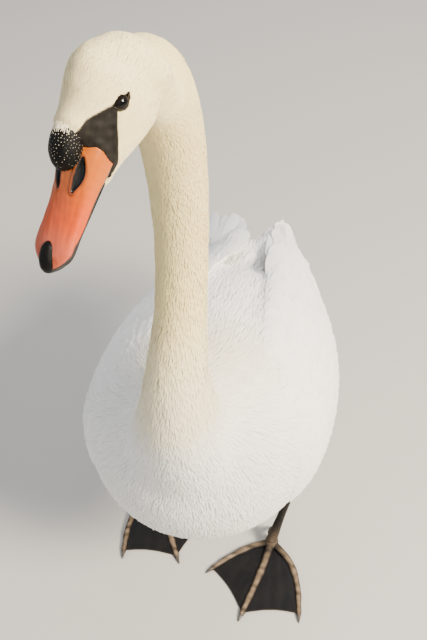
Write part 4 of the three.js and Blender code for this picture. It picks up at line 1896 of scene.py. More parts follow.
@dataclass
class Coat:
    """The small feathers of head, neck, breast, body and thighs."""

    bed: Bed
    material: Material

    def build(self) -> list[Object]:
        """Makes each patch of the coat."""
        return [self._patch(patch, 11 + i) for i, patch in enumerate(PATCHES)]

    def _patch(self, patch: Patch, seed: int) -> Object:
        """Scatters, lays and builds the feathers of one patch.

        Args:
            patch: The part of the coat.
            seed: For its random numbers.

        Returns:
            The object.
        """
        rng = np.random.default_rng(seed)
        bed, regions = self.bed, self.bed.regions
        wanted = patch.where(regions) * (regions.lore > 0.5) * (regions.eye > LID_EDGE)
        wanted = wanted * (1 - wing_cover(regions.points)) ** 2
        _, f, u = regions.head_at.T
        on_bill = (regions.head > 0.5) & (f > 34) & (u > -26)
        wanted = wanted * ~on_bill
        count = patch.tries
        points, face, mix = scattered(bed.shape, count, wanted[bed.shape.faces].mean(1) + 1e-12, rng)
        kept = spaced(points, bed.at(regions.gap, face, mix) * rng.uniform(0.85, 1.15, count))
        points, face, mix = points[kept], face[kept], mix[kept]
        length = bed.at(regions.length, face, mix) * rng.uniform(0.86, 1.12, len(kept))
        normal = unit(bed.at(bed.normals, face, mix))
        way = across(bed.at(bed.ways, face, mix) + patch.swerve * rng.normal(size=points.shape), normal)
        clear = np.ones(len(points), bool)
        for share in (0.5, 1.0):
            ahead = points + way * (length * share)[:, None]
            for eye in EYES:
                clear &= eye.reach(eye.local(ahead)) > LASH_CLEAR
        points, face, mix, length = (v[clear] for v in (points, face, mix, length))
        normal, way = normal[clear], way[clear]
        streak = bed.at(regions.streaks(), face, mix)
        loft = np.clip(1 + 0.25 * streak + patch.loft * rng.normal(size=len(points)), 0.4, 1.7)
        rise = bed.at(regions.depth, face, mix) * loft
        centre, up = bed.laid(points - normal * 0.2, way, length, patch.vane, rise)
        tint = bed.at(regions.tint(), face, mix) * (1 + 0.025 * rng.normal(size=(len(points), 1)))
        half = bed.at(regions.half, face, mix) * rng.uniform(0.8, 1.2, len(points))
        root = Regions(points, bed.flesh).unwrap()
        feathers = Feathers(patch.vane, centre, up, half, np.clip(tint, 0, 0.97), root, seed)
        made = feathers.build(patch.name, self.material)
        LOG.info("%s: %d feathers, %d triangles", patch.name, len(points), len(made.data.polygons))
        return made


# ---- wings and tail


@dataclass(frozen=True)
class Row:
    """One row across the folded wing: where its roots are and how big its feathers are.

    `y` is where it roots, `high` the share of the face it goes up to, and `rise` how high its tips stand.
    """

    y: float
    length: float
    half: float
    high: float
    rise: float


# Where the rows of coverts begin and end, their spacing as a share of their length, and their lowest share.
FIRST_ROW, LAST_ROW, ROW_STEP, LOW_EDGE = -130.0, 205, 0.27, 0.02
PRIMARIES = 5

# Each tertial: root x, y, z, tip x, y, z and half width.
TERTIALS: dict[Side, Table] = {
    Side.LEFT: (
        (4, 104, 434, 8, 264, 393, 19),
        (18, 118, 430, 13, 284, 389, 18),
        (30, 134, 420, 15, 295, 387, 17),
        (42, 150, 408, 14, 297, 387, 17),
        (50, 146, 398, 17, 292, 383, 17),
        (58, 140, 385, 23, 280, 374, 17),
        (66, 132, 370, 32, 264, 361, 17),
        (75, 122, 354, 42, 246, 346, 17),
    ),
    Side.RIGHT: (
        (46, 150, 430, 60, 270, 384, 15),
        (52, 150, 426, 64, 296, 386, 18),
        (60, 150, 418, 77, 292, 383, 15),
        (70, 148, 408, 94, 295, 384, 16),
        (78, 146, 394, 99, 288, 374, 16),
        (84, 140, 378, 102, 276, 363, 16),
        (88, 132, 362, 103, 262, 350, 16),
    ),
}


@dataclass
class WingFeathers:
    """A folded wing's coverts, secondaries, tertials and primaries."""

    side: Side
    wing: Wing
    material: Material

    def rows(self) -> list[Row]:
        """Rows from the wrist back, growing from small coverts to secondaries.

        Returns:
            The rows.
        """
        made, y = [], FIRST_ROW
        while y < LAST_ROW:
            along = (y + 138) / 343
            length = 24 + 26 * ramp(0, 0.4, along) + 70 * ramp(0.35, 0.75, along) - 34 * ramp(0.8, 1.0, along)
            half = 8.0 + 5 * ramp(0, 0.5, along) + 3.0 * ramp(0.4, 0.9, along)
            high = 0.93 + 0.055 * ramp(30, 100, y) - self.side_drop() * ramp(140, 190, y)
            made.append(Row(y, float(length), float(half), float(high), 3.0 + 1.4 * float(along)))
            y += float(length) * ROW_STEP
        return made

    def side_drop(self) -> float:
        """How much lower the last rows stop, as a share; only the right wing's do."""
        return 0.12 if self.side is Side.RIGHT else 0.0

    def build(self) -> list[Object]:
        """Makes the wing's objects."""
        return [self._coverts(), *self._flights()]

    def _on_wing(self, y: Array, share: Array, height: Array) -> tuple[Array, Array]:
        """Points over the wing's outer face, and normals.

        Args:
            y: Position along the body.
            share: 0 at the low edge to 1 at the top edge.
            height: Millimetres over the face.

        Returns:
            The points, and the face's normals there.
        """

        def at(along: Array, up: Array) -> Array:
            """Points of the face."""
            return self.wing.surface(self.side, along, up)

        here = at(y, share)
        over = at(y, np.minimum(share + 0.012, 1.0)) - at(y, np.maximum(share - 0.012, 0))
        normal = unit(np.cross(at(y + 1.5, share) - here, over)) * self.side.value
        return here + normal * height[..., None], normal

    def _coverts(self) -> Object:
        """The rows of coverts and secondaries over the outer face.

        Returns:
            The object of all of them.
        """
        rng = np.random.default_rng(31 + self.side.value)
        made = []
        for number, row in enumerate(self.rows()):
            up = np.linspace(LOW_EDGE, row.high, 80)
            line = self.wing.surface(self.side, np.full(80, row.y + row.length * 0.5), up)
            girth = np.concatenate([[0], np.cumsum(np.linalg.norm(np.diff(line, axis=0), axis=1))])
            count = max(3, int(girth[-1] / (row.half * 1.12)))
            where = (np.arange(count) + 0.5 * (number % 2) + 0.25) / count
            where = where + rng.normal(scale=0.1 / count, size=count)
            share = np.interp(where * girth[-1], girth, up)
            y = row.y + rng.normal(scale=row.length * 0.04, size=count)
            length = row.length * rng.uniform(0.92, 1.08, count)
            half = np.full(count, row.half) * rng.uniform(0.92, 1.1, count)
            made.append((y, share, length, half, np.full(count, row.rise)))
        y, share, length, half, rise = (np.concatenate(v) for v in zip(*made))
        along = np.array(COVERT.along)
        drift = rng.normal(scale=0.012, size=len(y))
        stations = y[:, None] + length[:, None] * along
        lateral = np.clip(share[:, None] + drift[:, None] * along, 0.01, 0.99)
        height = -2.6 + (rise * rng.uniform(0.9, 1.12, len(y)))[:, None] * along**1.1
        centre, normal = self._on_wing(stations, lateral, height)
        tint = np.array(COVERT_WHITE) * (1 + 0.025 * rng.normal(size=(len(y), 1)))
        root = vec(unwrap_side(self.side) + 0.36 * share * 0.5, 0.64 + 0.34 * (y + 142) / 430)
        feathers = Feathers(COVERT, centre, normal, half, tint, root, 5)
        made = feathers.build(f"wing_{self.side.word}_coverts", self.material)
        LOG.info("%s: %d feathers, %d triangles", made.name, len(y), len(made.data.polygons))
        return made

    def _flights(self) -> list[Object]:
        """The core plate, the long inner feathers and the primaries.

        Returns:
            The three objects.
        """
        plate = self.wing.plate(self.side, 0.72)
        core = mesh_object(f"wing_{self.side.word}_core", plate, self.material)
        count = len(core.data.vertices)
        paint(core, "Tint", np.full((count, 3), CORE_WHITE))
        uv_layer(core, "Vane", np.zeros((count, 2)))
        uv_layer(core, "OFBake", plate_unwrap(count, 64, self.side))
        return [core, self._tertials(), self._primaries()]

    def _blades(
        self, name: str, rows: Sequence[Sequence[float]], sag: float, seed: int, cut: Vane = FLIGHT
    ) -> Object:
        """Long separate feathers.

        Args:
            name: Name of the object.
            rows: Root xyz, tip xyz, half width, and the lean of the flat face to the side.
            sag: How far each bows between its ends; negative bows upwards.
            seed: For the fray.
            cut: The sort of feather.

        Returns:
            The object of all of them.
        """
        table = np.array(rows, float)
        along = np.array(cut.along)
        root, tip = on_body(table[:, :3]), on_body(table[:, 3:6])
        line = root[:, None] + (tip - root)[:, None] * along[None, :, None]
        up = unit(vec(table[:, 7], 0, 1))[:, None]
        line = line - up * (sag * 4 * along * (1 - along))[None, :, None]
        heading = unit(np.gradient(line, axis=1))
        ups = across(np.broadcast_to(up, line.shape), heading)
        tint = np.full((len(table), 3), FLIGHT_WHITE)
        root_uv = vec(0.96, 0.66 + 0.01 * np.arange(len(table)))
        return Feathers(cut, line, ups, table[:, 6], tint, root_uv, seed).build(name, self.material)

    def _tertials(self) -> Object:
        """The long inner feathers that round off the wing.

        Returns:
            The object of all of them.
        """
        s = self.side.value
        tips = TERTIALS[self.side]
        rows = []
        for i, (a, b, c, d, e, f, half) in enumerate(tips):
            rows.append((s * a, b, c, s * d, e, f, half, s * (0.15 + i * 0.16)))
        cut = POINTED if self.side is Side.LEFT else FLIGHT
        return self._blades(f"wing_{self.side.word}_tertials", rows[::-1], -3.0, 8, cut)

    def _primaries(self) -> Object:
        """The crossed long feathers behind the wing.

        Returns:
            The object of all of them.
        """
        s = self.side.value
        rows = []
        for i in range(PRIMARIES):
            out = 5.5 * i
            root = (s * (18 + out), 200, 332 - out / 2)
            tip = (s * (16 + out), 384 - 19 * i, 293.5 - out / 2 + 0.8 * i)
            rows.append((*root, *tip, 12.5, s * 0.5))
        return self._blades(f"primaries_{self.side.word}_vanes", rows, -8.0, 9)


def unwrap_side(side: Side) -> float:
    """Where a wing's island of the unwrap begins."""
    return 0.52 + (0.19 if side is Side.LEFT else 0)


def plate_unwrap(count: int, ring: int, side: Side) -> Array:
    """The wing core's unwrap: round by along.

    Args:
        count: How many vertices the core has.
        ring: How many of them make a ring.
        side: Which wing.

    Returns:
        A place on the unwrap for each vertex.
    """
    index = np.maximum(np.arange(count) - 1, 0)
    around = np.abs((index % ring) / ring - 0.5) * 2
    along = np.clip(index // ring / max(count // ring, 1), 0, 1)
    return vec(unwrap_side(side) + 0.18 * around, 0.64 + 0.34 * along)


@dataclass
class Tail:
    """The fan of tail feathers."""

    material: Material
    root: Triple = (0, 262, 318)
    length: float = 190
    droop: float = 27
    fan: float = 29
    shorter: float = 64
    count: int = 15

    def build(self) -> Object:
        """Makes the feathers of the fan, the middle ones on top.

        Returns:
            The object of all of them.
        """
        along = np.array(FLIGHT.along)
        place = np.linspace(-0.5, 0.5, self.count)
        order = np.argsort(-np.abs(place))
        place = place[order]
        turn, droop = np.radians(self.fan * place), math.radians(self.droop)
        length = self.length - self.shorter * (2 * np.abs(place)) ** 1.3
        heading = vec(np.sin(turn), np.cos(turn) * math.cos(droop), -math.sin(droop))
        start = on_body(np.array(self.root, float)) + vec(34 * place, -26, 20 - 22 * np.abs(place))
        start[:, 2] += 0.25 * np.arange(self.count) - 1.5
        line = start[:, None] + heading[:, None] * ((length + 28)[:, None] * along)[..., None]
        up = across(vec(place * 0.9, 0.4, 1), heading)
        ups = np.repeat(up[:, None], len(along), 1)
        tint = np.full((self.count, 3), FLIGHT_WHITE)
        root_uv = vec(0.9, 0.66 + 0.01 * np.arange(self.count))
        feathers = Feathers(FLIGHT, line, ups, np.full(self.count, 14.5), tint, root_uv, 21)
        return feathers.build("tail_vanes", self.material)


# ---- pieces set on points


class PiecesOnPoints:
    """A node tree that sets a small piece on each point of a mesh and makes one mesh of them."""

    def __init__(self, piece: Object, material: Material) -> None:
        """Keeps what is set on the points and its finish."""
        self.piece, self.material = piece, material

    def tree(self) -> Tree:
        """Builds the tree: points carry Turn and Size; inputs give the scale of all and its variety.

        Returns:
            The node tree.
        """
        tree = bpy.data.node_groups.new("pieces_on_points", "GeometryNodeTree")
        face = tree.interface
        face.new_socket("Geometry", in_out="INPUT", socket_type="NodeSocketGeometry")
        face.new_socket("Piece", in_out="INPUT", socket_type="NodeSocketObject")
        face.new_socket("Scale", in_out="INPUT", socket_type="NodeSocketFloat").default_value = 1.0
        face.new_socket("Variety", in_out="INPUT", socket_type="NodeSocketFloat").default_value = 0.15
        face.new_socket("Geometry", in_out="OUTPUT", socket_type="NodeSocketGeometry")
        given = tree.nodes.new("NodeGroupInput").outputs

        def add(kind: str, output: str | int = 0, **settings: Any) -> Socket:
            """Adds a node and returns one of its outputs."""
            return add_node(tree, kind, **settings).outputs[output]

        piece = add("GeometryNodeObjectInfo", "Geometry", in_Object=given["Piece"])
        stored = ("GeometryNodeInputNamedAttribute", "Attribute")
        turn, size = (add(*stored, data_type="FLOAT_VECTOR", in_Name=name) for name in ("Turn", "Size"))
        spread = {"in_0": 1.0, "in_1": given["Variety"]}
        low, high = (add("ShaderNodeMath", operation=sign, **spread) for sign in ("SUBTRACT", "ADD"))
        vary = add("FunctionNodeRandomValue", 1, data_type="FLOAT", in_2=low, in_3=high, in_Seed=7)
        grow = add("ShaderNodeMath", operation="MULTIPLY", in_0=vary, in_1=given["Scale"])
        scale = add("ShaderNodeVectorMath", operation="SCALE", in_0=size, in_Scale=grow)
        rotation = add("FunctionNodeEulerToRotation", in_0=turn)
        how = {"in_Rotation": rotation, "in_Scale": scale}
        placed = add("GeometryNodeInstanceOnPoints", in_Points=given["Geometry"], in_Instance=piece, **how)
        real = add("GeometryNodeRealizeInstances", in_0=placed)
        finished = add("GeometryNodeSetMaterial", in_0=real, in_Material=self.material)
        add_node(tree, "NodeGroupOutput", in_0=finished)
        return tree

    def build(self, name: str, points: Array, axes: Array, sizes: Array, variety: float) -> Object:
        """Sets the pieces and returns them as one plain mesh object.

        Args:
            name: Name of the object.
            points: Build-frame positions.
            axes: For each point, rows: the piece's own x, y and z directions.
            sizes: Scale along each of those, in millimetres.
            variety: Share by which sizes differ.

        Returns:
            The mesh object.
        """
        tree = self.tree()
        cloud = mesh_object(name, Shape(points, np.zeros((0, 3), int)))
        turns = np.array([Matrix(a.T.tolist()).to_euler() for a in axes], np.float32)
        for label, values in (("Turn", turns), ("Size", sizes.astype(np.float32))):
            layer = cloud.data.attributes.new(label, "FLOAT_VECTOR", "POINT")
            layer.data.foreach_set("vector", values.ravel())
        modifier = cloud.modifiers.new("pieces", "NODES")
        modifier.node_group = tree
        sockets = {s.name: s.identifier for s in tree.interface.items_tree if s.in_out == "INPUT"}
        modifier[sockets["Piece"]] = self.piece
        modifier[sockets["Scale"]] = MM
        modifier[sockets["Variety"]] = variety
        bpy.context.view_layer.update()
        return settled(cloud, name)


def small_tuft(name: str) -> Object:
    """A closed pointed tuft, one unit long along X and leaning up, as a helper to be set on points.

    Args:
        name: Name of the helper.

    Returns:
        The helper, hidden in renders.
    """
    angle = ring_angles(6)
    rows = []
    for share, wide in ((0, 0), (0.05, 0.2), (0.4, 0.26), (0.8, 0.14), (1.0, 0)):
        rows.append(vec(share, wide * np.cos(angle), 0.35 * share + 0.5 * wide * np.sin(angle)))
    shape = grid_shape(np.array(rows))
    mesh = bpy.data.meshes.new(name)
    mesh.from_pydata(shape.verts.tolist(), [], shape.faces.tolist())
    mesh.polygons.foreach_set("use_smooth", np.full(len(mesh.polygons), True))
    made = linked(name, mesh)
    made.hide_render = True
    return made


# ---- bill, knob and eyes


@dataclass
class Bill:
    """The orange upper bill with its nostrils and black edges, the black lower bill, nail and knob."""

    horn: Material
    black: Material
    down: Material
    upper: Table = (
        (29, 4, -23.5, 19),
        (42, 2, -24, 18),
        (56, -3, -24, 16.6),
        (70, -8, -24, 16.2),
        (86, -11, -24.5, 16.3),
        (100, -12.5, -25, 16.4),
        (110, -14.5, -26, 15.2),
        (120, -19, -27.5, 10),
    )
    lower: Table = (
        (38, -20, -31, 13.4),
        (60, -21, -31, 12.8),
        (85, -22, -30, 12.8),
        (104, -23.5, -29.5, 12),
        (116, -25, -29, 7),
    )

    def build(self) -> dict[str, Object]:
        """Makes the pieces, by the node each stands for.

        Returns:
            Each node's name and its piece.
        """
        nail = lump(HEAD.out, (0, 111, -19.3), (10.4, 6.6, 7.0), -30, 1.25)
        return {
            "bill_upper": self._upper(),
            "bill_lower": self._lower(),
            "bill_nail": self._dark("bill_nail_horn", nail, 0.1),
            "bill_knob": self._dark("bill_knob_skin", self._knob_shape(), 0.16),
        }

    def _nostril(self, head: Array) -> Array:
        """Distance in millimetres from the rim of the nearer nostril's slot, negative inside.

        Args:
            head: Head coordinates.

        Returns:
            A distance for each point.
        """
        f, side = head[:, 1], np.abs(head[:, 0])
        start, length = 42.5, 22.0
        share = np.clip((f - start) / length, 0, 1)
        bow = np.sin(np.pi * share)
        off = np.hypot(f - (start + length * share), side - (9.8 - 3.4 * share + 1.1 * bow))
        return off - (0.9 + 2.3 * bow**0.8)

    def _upper(self) -> Object:
        """The upper bill: a broad ridge, sunk nostrils and a black cutting edge.

        Returns:
            The object.
        """
        rows = Rows(self.upper)
        rings = lofted(rows, HEAD.out, (3, 20), (160, 200), 2.15, 5)
        shape = grid_shape(rings)
        normals = vertex_normals(shape)
        head = HEAD.into(shape.verts)
        l, f, u = head.T
        bottom = rows(f)[..., 1]
        upper = u > bottom + 5
        gap = np.where(upper, self._nostril(head), 9)
        sink = 3.0 * ramp(0.3, -1.6, gap)
        swell = 0.55 * bell(gap, 1.0, 1.0) * upper
        groove = 0.5 * bell(np.abs(l), 11.5, 1.6) * ramp(38, 60, f) * ramp(108, 92, f) * upper
        lip = 0.5 * bell(u - bottom, 1.7, 1.3) * ramp(32, 44, f)
        ripples = 0.09 * ripple(head * (1, 0.35, 1), 5.0, 9)
        shape.verts = shape.verts + normals * (swell + lip + ripples - groove * 0.6 - sink)[:, None]
        colour = mixed(ORANGE, CORAL, ramp(46, 84, f)[:, None])
        tip = ramp(84, 106, f)[:, None]
        colour = colour * (1 - 0.85 * tip) + PINK * 0.85 * tip
        # Painted highlight: the tint is up to 12 percent lighter along the top of the ridge towards the tip.
        ridge = (ramp(7, 1, np.abs(l)) * ramp(60, 100, f))[:, None]
        colour = colour * (1 + 0.12 * ridge) * (1 + 0.05 * ripple(head, 9, 4)[:, None])
        edge = 2.9 + 3.2 * ramp(80, 112, f)
        base = f - 32.3 - 4 * ramp(0, -20, u) + 0.3 * ripple(head, 3, 5)
        shape.verts = shape.verts - normals * (2.0 * ramp(0.6, -0.6, base))[:, None]
        sides = (ramp(edge + 0.7, edge, u - bottom), ramp(0.9, 0.1, gap), ramp(0.3, -0.3, base))
        black = np.maximum.reduce([*sides, 0.45 * bell(gap, 1.2, 0.9) * upper])[:, None]
        made = mesh_object("bill_upper_horn", shape, self.horn)
        paint(made, "Tint", mixed(colour, EDGE_BLACK, black))
        return made

    def _lower(self) -> Object:
        """The lower bill with its two branches and the skin between them.

        Returns:
            The object.
        """
        shape = grid_shape(lofted(Rows(self.lower), HEAD.out, (4, 20), (80, 120), 2.3))
        head = HEAD.into(shape.verts)
        l, f, u = head.T
        hollow = 1.6 * ramp(9, 4, np.abs(l)) * ramp(100, 84, f) * (u < -27)
        combs = 0.22 * np.sin(f * 2 * np.pi / 2.1) * ramp(9, 11, np.abs(l)) * (u > -27)
        shape = shape.pushed(combs - hollow)
        return mesh_object("bill_lower_skin", shape, self.black)

    def _dark(self, name: str, shape: Shape, rough: float) -> Object:
        """An object in the black skin's finish, slightly uneven."""
        uneven = rough * ripple(HEAD.into(shape.verts), 4.0, 12)
        return mesh_object(name, shape.pushed(uneven), self.black)

    def _knob_shape(self) -> Shape:
        """The fleshy knob, drawn out behind so that it runs back into the forehead."""
        return lump(HEAD.out, (0, 39.3, 8.6), (16.8, 10.9, 11.6), -22, 1.2)

    def flecks(self) -> Object:
        """White feather tips on the knob: a close cover by the forehead that breaks up into specks.

        Returns:
            The object of all of them.
        """
        shape = self._knob_shape()
        normals = vertex_normals(shape)
        rng = np.random.default_rng(77)
        points, face, mix = scattered(shape, 16000, np.ones(len(shape.faces)), rng)
        normals = unit(np.einsum("nk,nkd->nd", mix, normals[shape.faces[face]]))
        l, f, u = HEAD.into(points).T
        high = -0.92 * (f - 40) + 0.197 * (u - 9) - 0.338 * np.abs(l) * ramp(-2, 6, l)
        side = np.abs(l) - 0.35 * (f - 26)
        high = high - 1.6 * np.maximum(side - 8.5, 0) + 1.2 * ripple(HEAD.into(points), 5, 3)
        dense, sparse = ramp(2.5, 9.5, high), ramp(-16, 2, high)
        chance = np.maximum(dense, 0.6 * sparse**1.3) * (u > 2 - 0.1 * f)
        chosen = (rng.random(len(points)) < chance) & (np.abs(l) < 14.5)
        points, normals, f, dense = (v[chosen] for v in (points, normals, f, dense))
        kept = spaced(points, (1.7 + 0.3 * rng.random(len(f))) * (1 - dense) + 0.75 * dense)
        points, normals, f, dense = (v[kept] for v in (points, normals, f, dense))
        way = np.broadcast_to(-HEAD.axes()[1] + 0.2 * HEAD.axes()[2], points.shape)
        back = across(way + (0.1 + 0.5 * (1 - dense))[:, None] * rng.normal(size=points.shape), normals)
        axes = np.stack([back, np.cross(normals, back), normals], 1)
        long = (0.5 + 3.0 * dense**1.5) * rng.uniform(0.75, 1.3, len(f))
        wide = (0.5 + 0.85 * dense) * rng.uniform(0.8, 1.2, len(f))
        sizes = vec(long, wide, 0.5 * wide + 0.12 * long)
        tuft = small_tuft("knob_tuft")
        made = PiecesOnPoints(tuft, self.down).build("bill_knob_flecks", points, axes, sizes, 0.25)
        drop(tuft)
        paint(made, "Tint", np.full((len(made.data.vertices), 3), FLECK))
        LOG.info("bill_knob_flecks: %d, %d faces", len(points), len(made.data.polygons))
        return made


@dataclass
class Eyes:
    """The two wet dark eyes."""

    wet: Material

    def build(self) -> dict[str, Object]:
        """Makes both eyeballs: dark brown iris, black pupil, a slight bulge in front.

        Returns:
            Each node's name and its piece.
        """
        made = {}
        for eye in EYES:
            down = np.linspace(0, np.pi, 49)[:, None]
            angle = ring_angles(64)[None]
            bulge = eye.radius * (1 + 0.035 * bell(down, 0, 0.55))
            out = np.sin(down) * bulge
            shape = grid_shape(eye.out(vec(out * np.cos(angle), out * np.sin(angle), np.cos(down) * bulge)))
            obj = mesh_object(f"eye_{eye.side.word}_ball", shape, self.wet)
            reach = np.linalg.norm(eye.local(shape.verts)[:, :2], axis=1)
            iris = (ramp(2.3, 2.7, reach) * ramp(5.2, 4.6, reach))[:, None]
            paint(obj, "Tint", mixed(PUPIL, IRIS, iris))
            made[f"eye_{eye.side.word}"] = obj
        return made


# ---- legs and feet


class Toe(Enum):
    """The three front toes: angle from the middle one, length, radius and bow."""

    INNER = (-42, 104, 5.6, -8)
    MIDDLE = (0, 131, 6.4, 2)
    OUTER = (38, 127, 5.8, 17)


@dataclass
class LegBuilder:
    """One leg below the feathers: shank, webbed foot, claws and hind toe, all scaled."""

    leg: Leg
    scaled: Material
    horn: Material
    shank: Table = ((8.5, 9.5), (9.5, 12), (6.4, 9), (5.8, 8), (7.5, 8.5), (8.5, 9))
    dark: Triple = (0.0058, 0.0062, 0.0074)
    pale: Triple = (0.27, 0.19, 0.12)

    def build(self) -> dict[str, Object]:
        """Makes the pieces, by the node each stands for.

        Returns:
            Each node's name and its piece.
        """
        word = self.leg.side.word
        made = {
            f"shank_{word}": self._shank(),
            f"foot_{word}": self._foot(),
            f"hind_toe_{word}": self._hind_toe(),
        }
        for toe in Toe:
            made[f"claw_{word}_{toe.name.lower()}"] = self._claw(toe)
        return made

    def _dress(self, name: str, shape: Shape, pale: Array) -> Object:
        """An object with the leg's skin, paler by a share at each vertex.

        Args:
            name: Name of the object.
            shape: Its shape.
            pale: How pale each vertex is, 0 to 1.

        Returns:
            The object.
        """
        made = mesh_object(name, shape, self.scaled)
        share = np.clip(pale, 0, 1)[:, None]
        paint(made, "Tint", mixed(np.array(self.dark), np.array(self.pale), share))
        return made

    @staticmethod
    def _scales(a: Array, b: Array, size: float) -> Array:
        """A pebbled pattern of six-sided scales over two surface coordinates, 0 to 1.

        Args:
            a: The first coordinate, in millimetres.
            b: The second.
            size: Distance from scale to scale.

        Returns:
            How high the pattern stands, 0 to 1.
        """
        k = 2 * np.pi / size
        total = np.cos(k * a) + np.cos(k * (0.5 * a + 0.866 * b)) + np.cos(k * (-0.5 * a + 0.866 * b))
        return np.clip((total + 1.5) / 4.5, 0, 1) ** 0.6

    def _shank(self) -> Object:
        """The shank, from inside the thigh's feathers down to the foot.

        Returns:
            The object.
        """
        hock, root = np.array(self.leg.hock, float), np.array(self.leg.root, float)
        at = [hock + (root - hock) * s for s in (-0.12, 0, 0.22, 0.6, 0.88, 1.04)]
        rings = tube(at, self.shank, (72, 150), (8, 6))
        shape = grid_shape(rings)
        middle = rings.mean(1, keepdims=True)
        angle = np.broadcast_to(ring_angles(72)[None], rings.shape[:2]) * 7.5
        long = np.linalg.norm(middle - middle[:1], axis=-1) + 0 * angle
        front = bell(ring_angles(72), 1.5 * np.pi, 0.55)[None]
        scutes = np.abs(np.cos(np.pi * long / 4.2)) ** 0.5
        flat = per_vertex(mixed(self._scales(angle, long, 2.6), scutes, front))
        shape = shape.pushed(0.42 * (flat - 0.6))
        pale = 0.4 * ramp(55, 14, shape.verts[:, 2]) * flat + 0.02
        return self._dress(f"shank_{self.leg.side.word}_skin", shape, pale)

    def _path(self, toe: Toe) -> Path:
        """A toe's centre line.

        Args:
            toe: Which toe.

        Returns:
            The line, from the foot's root to the claw.
        """
        angle, length, _, bow = toe.value
        side, turn, out = self.leg.side.value, math.radians(self.leg.turn), math.radians(angle)
        heading = np.array([-side * math.sin(turn - out), -math.cos(turn - out), 0])
        outward = np.array([-heading[1] * side, heading[0] * side, 0])
        root = np.array([*self.leg.root[:2], 0.0])
        points = []
        for share, high in ((0, 10), (0.3, 5), (0.62, 3.8), (0.86, 3), (1, 2.3)):
            point = root + heading * length * share + outward * bow * math.sin(math.pi * share**0.8)
            points.append([point[0], point[1], high])
        return Path(points)

    def _toe(self, toe: Toe) -> tuple[Shape, Array]:
        """A toe with soft knuckles and cross scutes, and how pale it is.

        Args:
            toe: Which toe.

        Returns:
            The shape, and how pale each vertex is.
        """
        _, length, radius, _ = toe.value
        curve, around = self._path(toe), 40
        share = np.linspace(0, 1, 111)
        centre, tangent = curve.point(share), curve.tangent(share)
        side = unit(np.cross([0, 0, 1.0], tangent))
        up = np.cross(tangent, side)
        swell = sum(0.16 * bell(share, k, 0.05) for k in (0.36, 0.64, 0.88))
        close = rounding(share * length, 6) * rounding((1 - share) * length, 5)
        size = (radius * (1 - 0.45 * share) * (1 + swell) * close)[:, None]
        angle = ring_angles(around)
        c, s = np.cos(angle), np.sin(angle)
        points = rings_about(centre, side, up, size * c, size * 0.9 * s)
        top = np.clip(s, 0, 1)[None] ** 0.7
        scute = np.abs(np.sin(np.pi * share * length / 2.9))[:, None] ** 0.45
        sides = self._scales(angle[None] * radius, share[:, None] * length, 2.2)
        relief = 0.34 * (top * scute + (1 - top) * sides * 0.7 - 0.6) * np.minimum(close * 1.5, 1)[:, None]
        out = side[:, None] * c[None, :, None] + up[:, None] * s[None, :, None]
        points = points + out * relief[..., None]
        points[..., 2] = np.maximum(points[..., 2], 0)
        points[0], points[-1] = points[0].mean(0), points[-1].mean(0)
        # The tops of the toes and the crowns of their scutes are paler, in patchy strips: partly their tan colour,
        # partly a painted highlight.
        patchy = 0.62 + 0.38 * ripple(points, 14, 3)
        pale = top**3 * (0.5 + 0.5 * scute) * patchy * ramp(-0.02, 0.3, share)[:, None]
        return grid_shape(points), per_vertex(pale)

    def _web(self, one: Toe, two: Toe) -> tuple[Shape, Array]:
        """The web between two toes, with folds that fan from the root and a fine pebbled skin.

        Args:
            one: The toe on one side of it.
            two: The toe on the other.

        Returns:
            The shape, and how pale each vertex is.
        """
        a, b = self._path(one), self._path(two)
        u = np.linspace(0, 1, 71)[:, None]
        w = np.linspace(0, 1, 91)[None]
        scoop = 1 - 0.09 * np.sin(np.pi * u)
        v = 0.04 + w * (0.93 * scoop - 0.04)
        plan = a.point(v + 0 * u) * (1 - u)[..., None] + b.point(v + 0 * u) * u[..., None]
        lift = 3.6 * (1 - v) - 1.4 * np.sin(np.pi * u) * v
        middle = np.maximum(1.2, 2.2 + lift)
        fan = np.sin(u * 2 * np.pi * 4.3 + 1.8 * np.sin(v * 4 + 3 * u))
        fold = 0.22 * fan * np.sin(np.pi * u) * (0.3 + 0.7 * v)
        grain = 0.16 * (self._scales(u * 95 * v, v * 110, 2.3) - 0.5)
        rim = 0.25 * ramp(0.9, 1.0, w)
        edge = np.minimum(1, np.minimum(u, 1 - u) * 30) * np.minimum(1, (1 - w) * 25) ** 0.5
        edge = edge * np.minimum(1, w * 25)
        top, low = plan.copy(), plan.copy()
        top[..., 2] = middle + fold + (0.8 + grain + rim) * (0.35 + 0.65 * edge)
        low[..., 2] = np.maximum(middle + fold - 0.8 * (0.35 + 0.65 * edge), 0)
        rows, cols = u.shape[0], w.shape[1]
        verts = np.vstack([top.reshape(-1, 3), low.reshape(-1, 3)])
        i, j = np.meshgrid(np.arange(rows - 1), np.arange(cols - 1), indexing="ij")
        p = (i * cols + j).ravel()
        quads = vec(p, p + 1, p + cols + 1, p + cols)
        base = rows * cols
        far = base - 2 - np.arange(cols - 1)
        back = (rows - 2 - np.arange(rows - 2)) * cols
        border = np.concatenate([np.arange(cols), np.arange(1, rows) * cols + cols - 1, far, back])
        after = np.roll(border, -1)
        walls = vec(border, after, after + base, border + base)
        tris = halved(np.vstack([quads, (quads + base)[:, ::-1], walls[:, ::-1]]))
        hem = 0.04 * ramp(0.08, 0.0, np.minimum(u, 1 - u)) + 0.1 * ramp(0.975, 1.0, w)
        pale = (0.004 + hem + 0.006 * ripple(plan, 30, 2)).ravel()
        return Shape(verts, tris).outward(), np.concatenate([pale, pale])

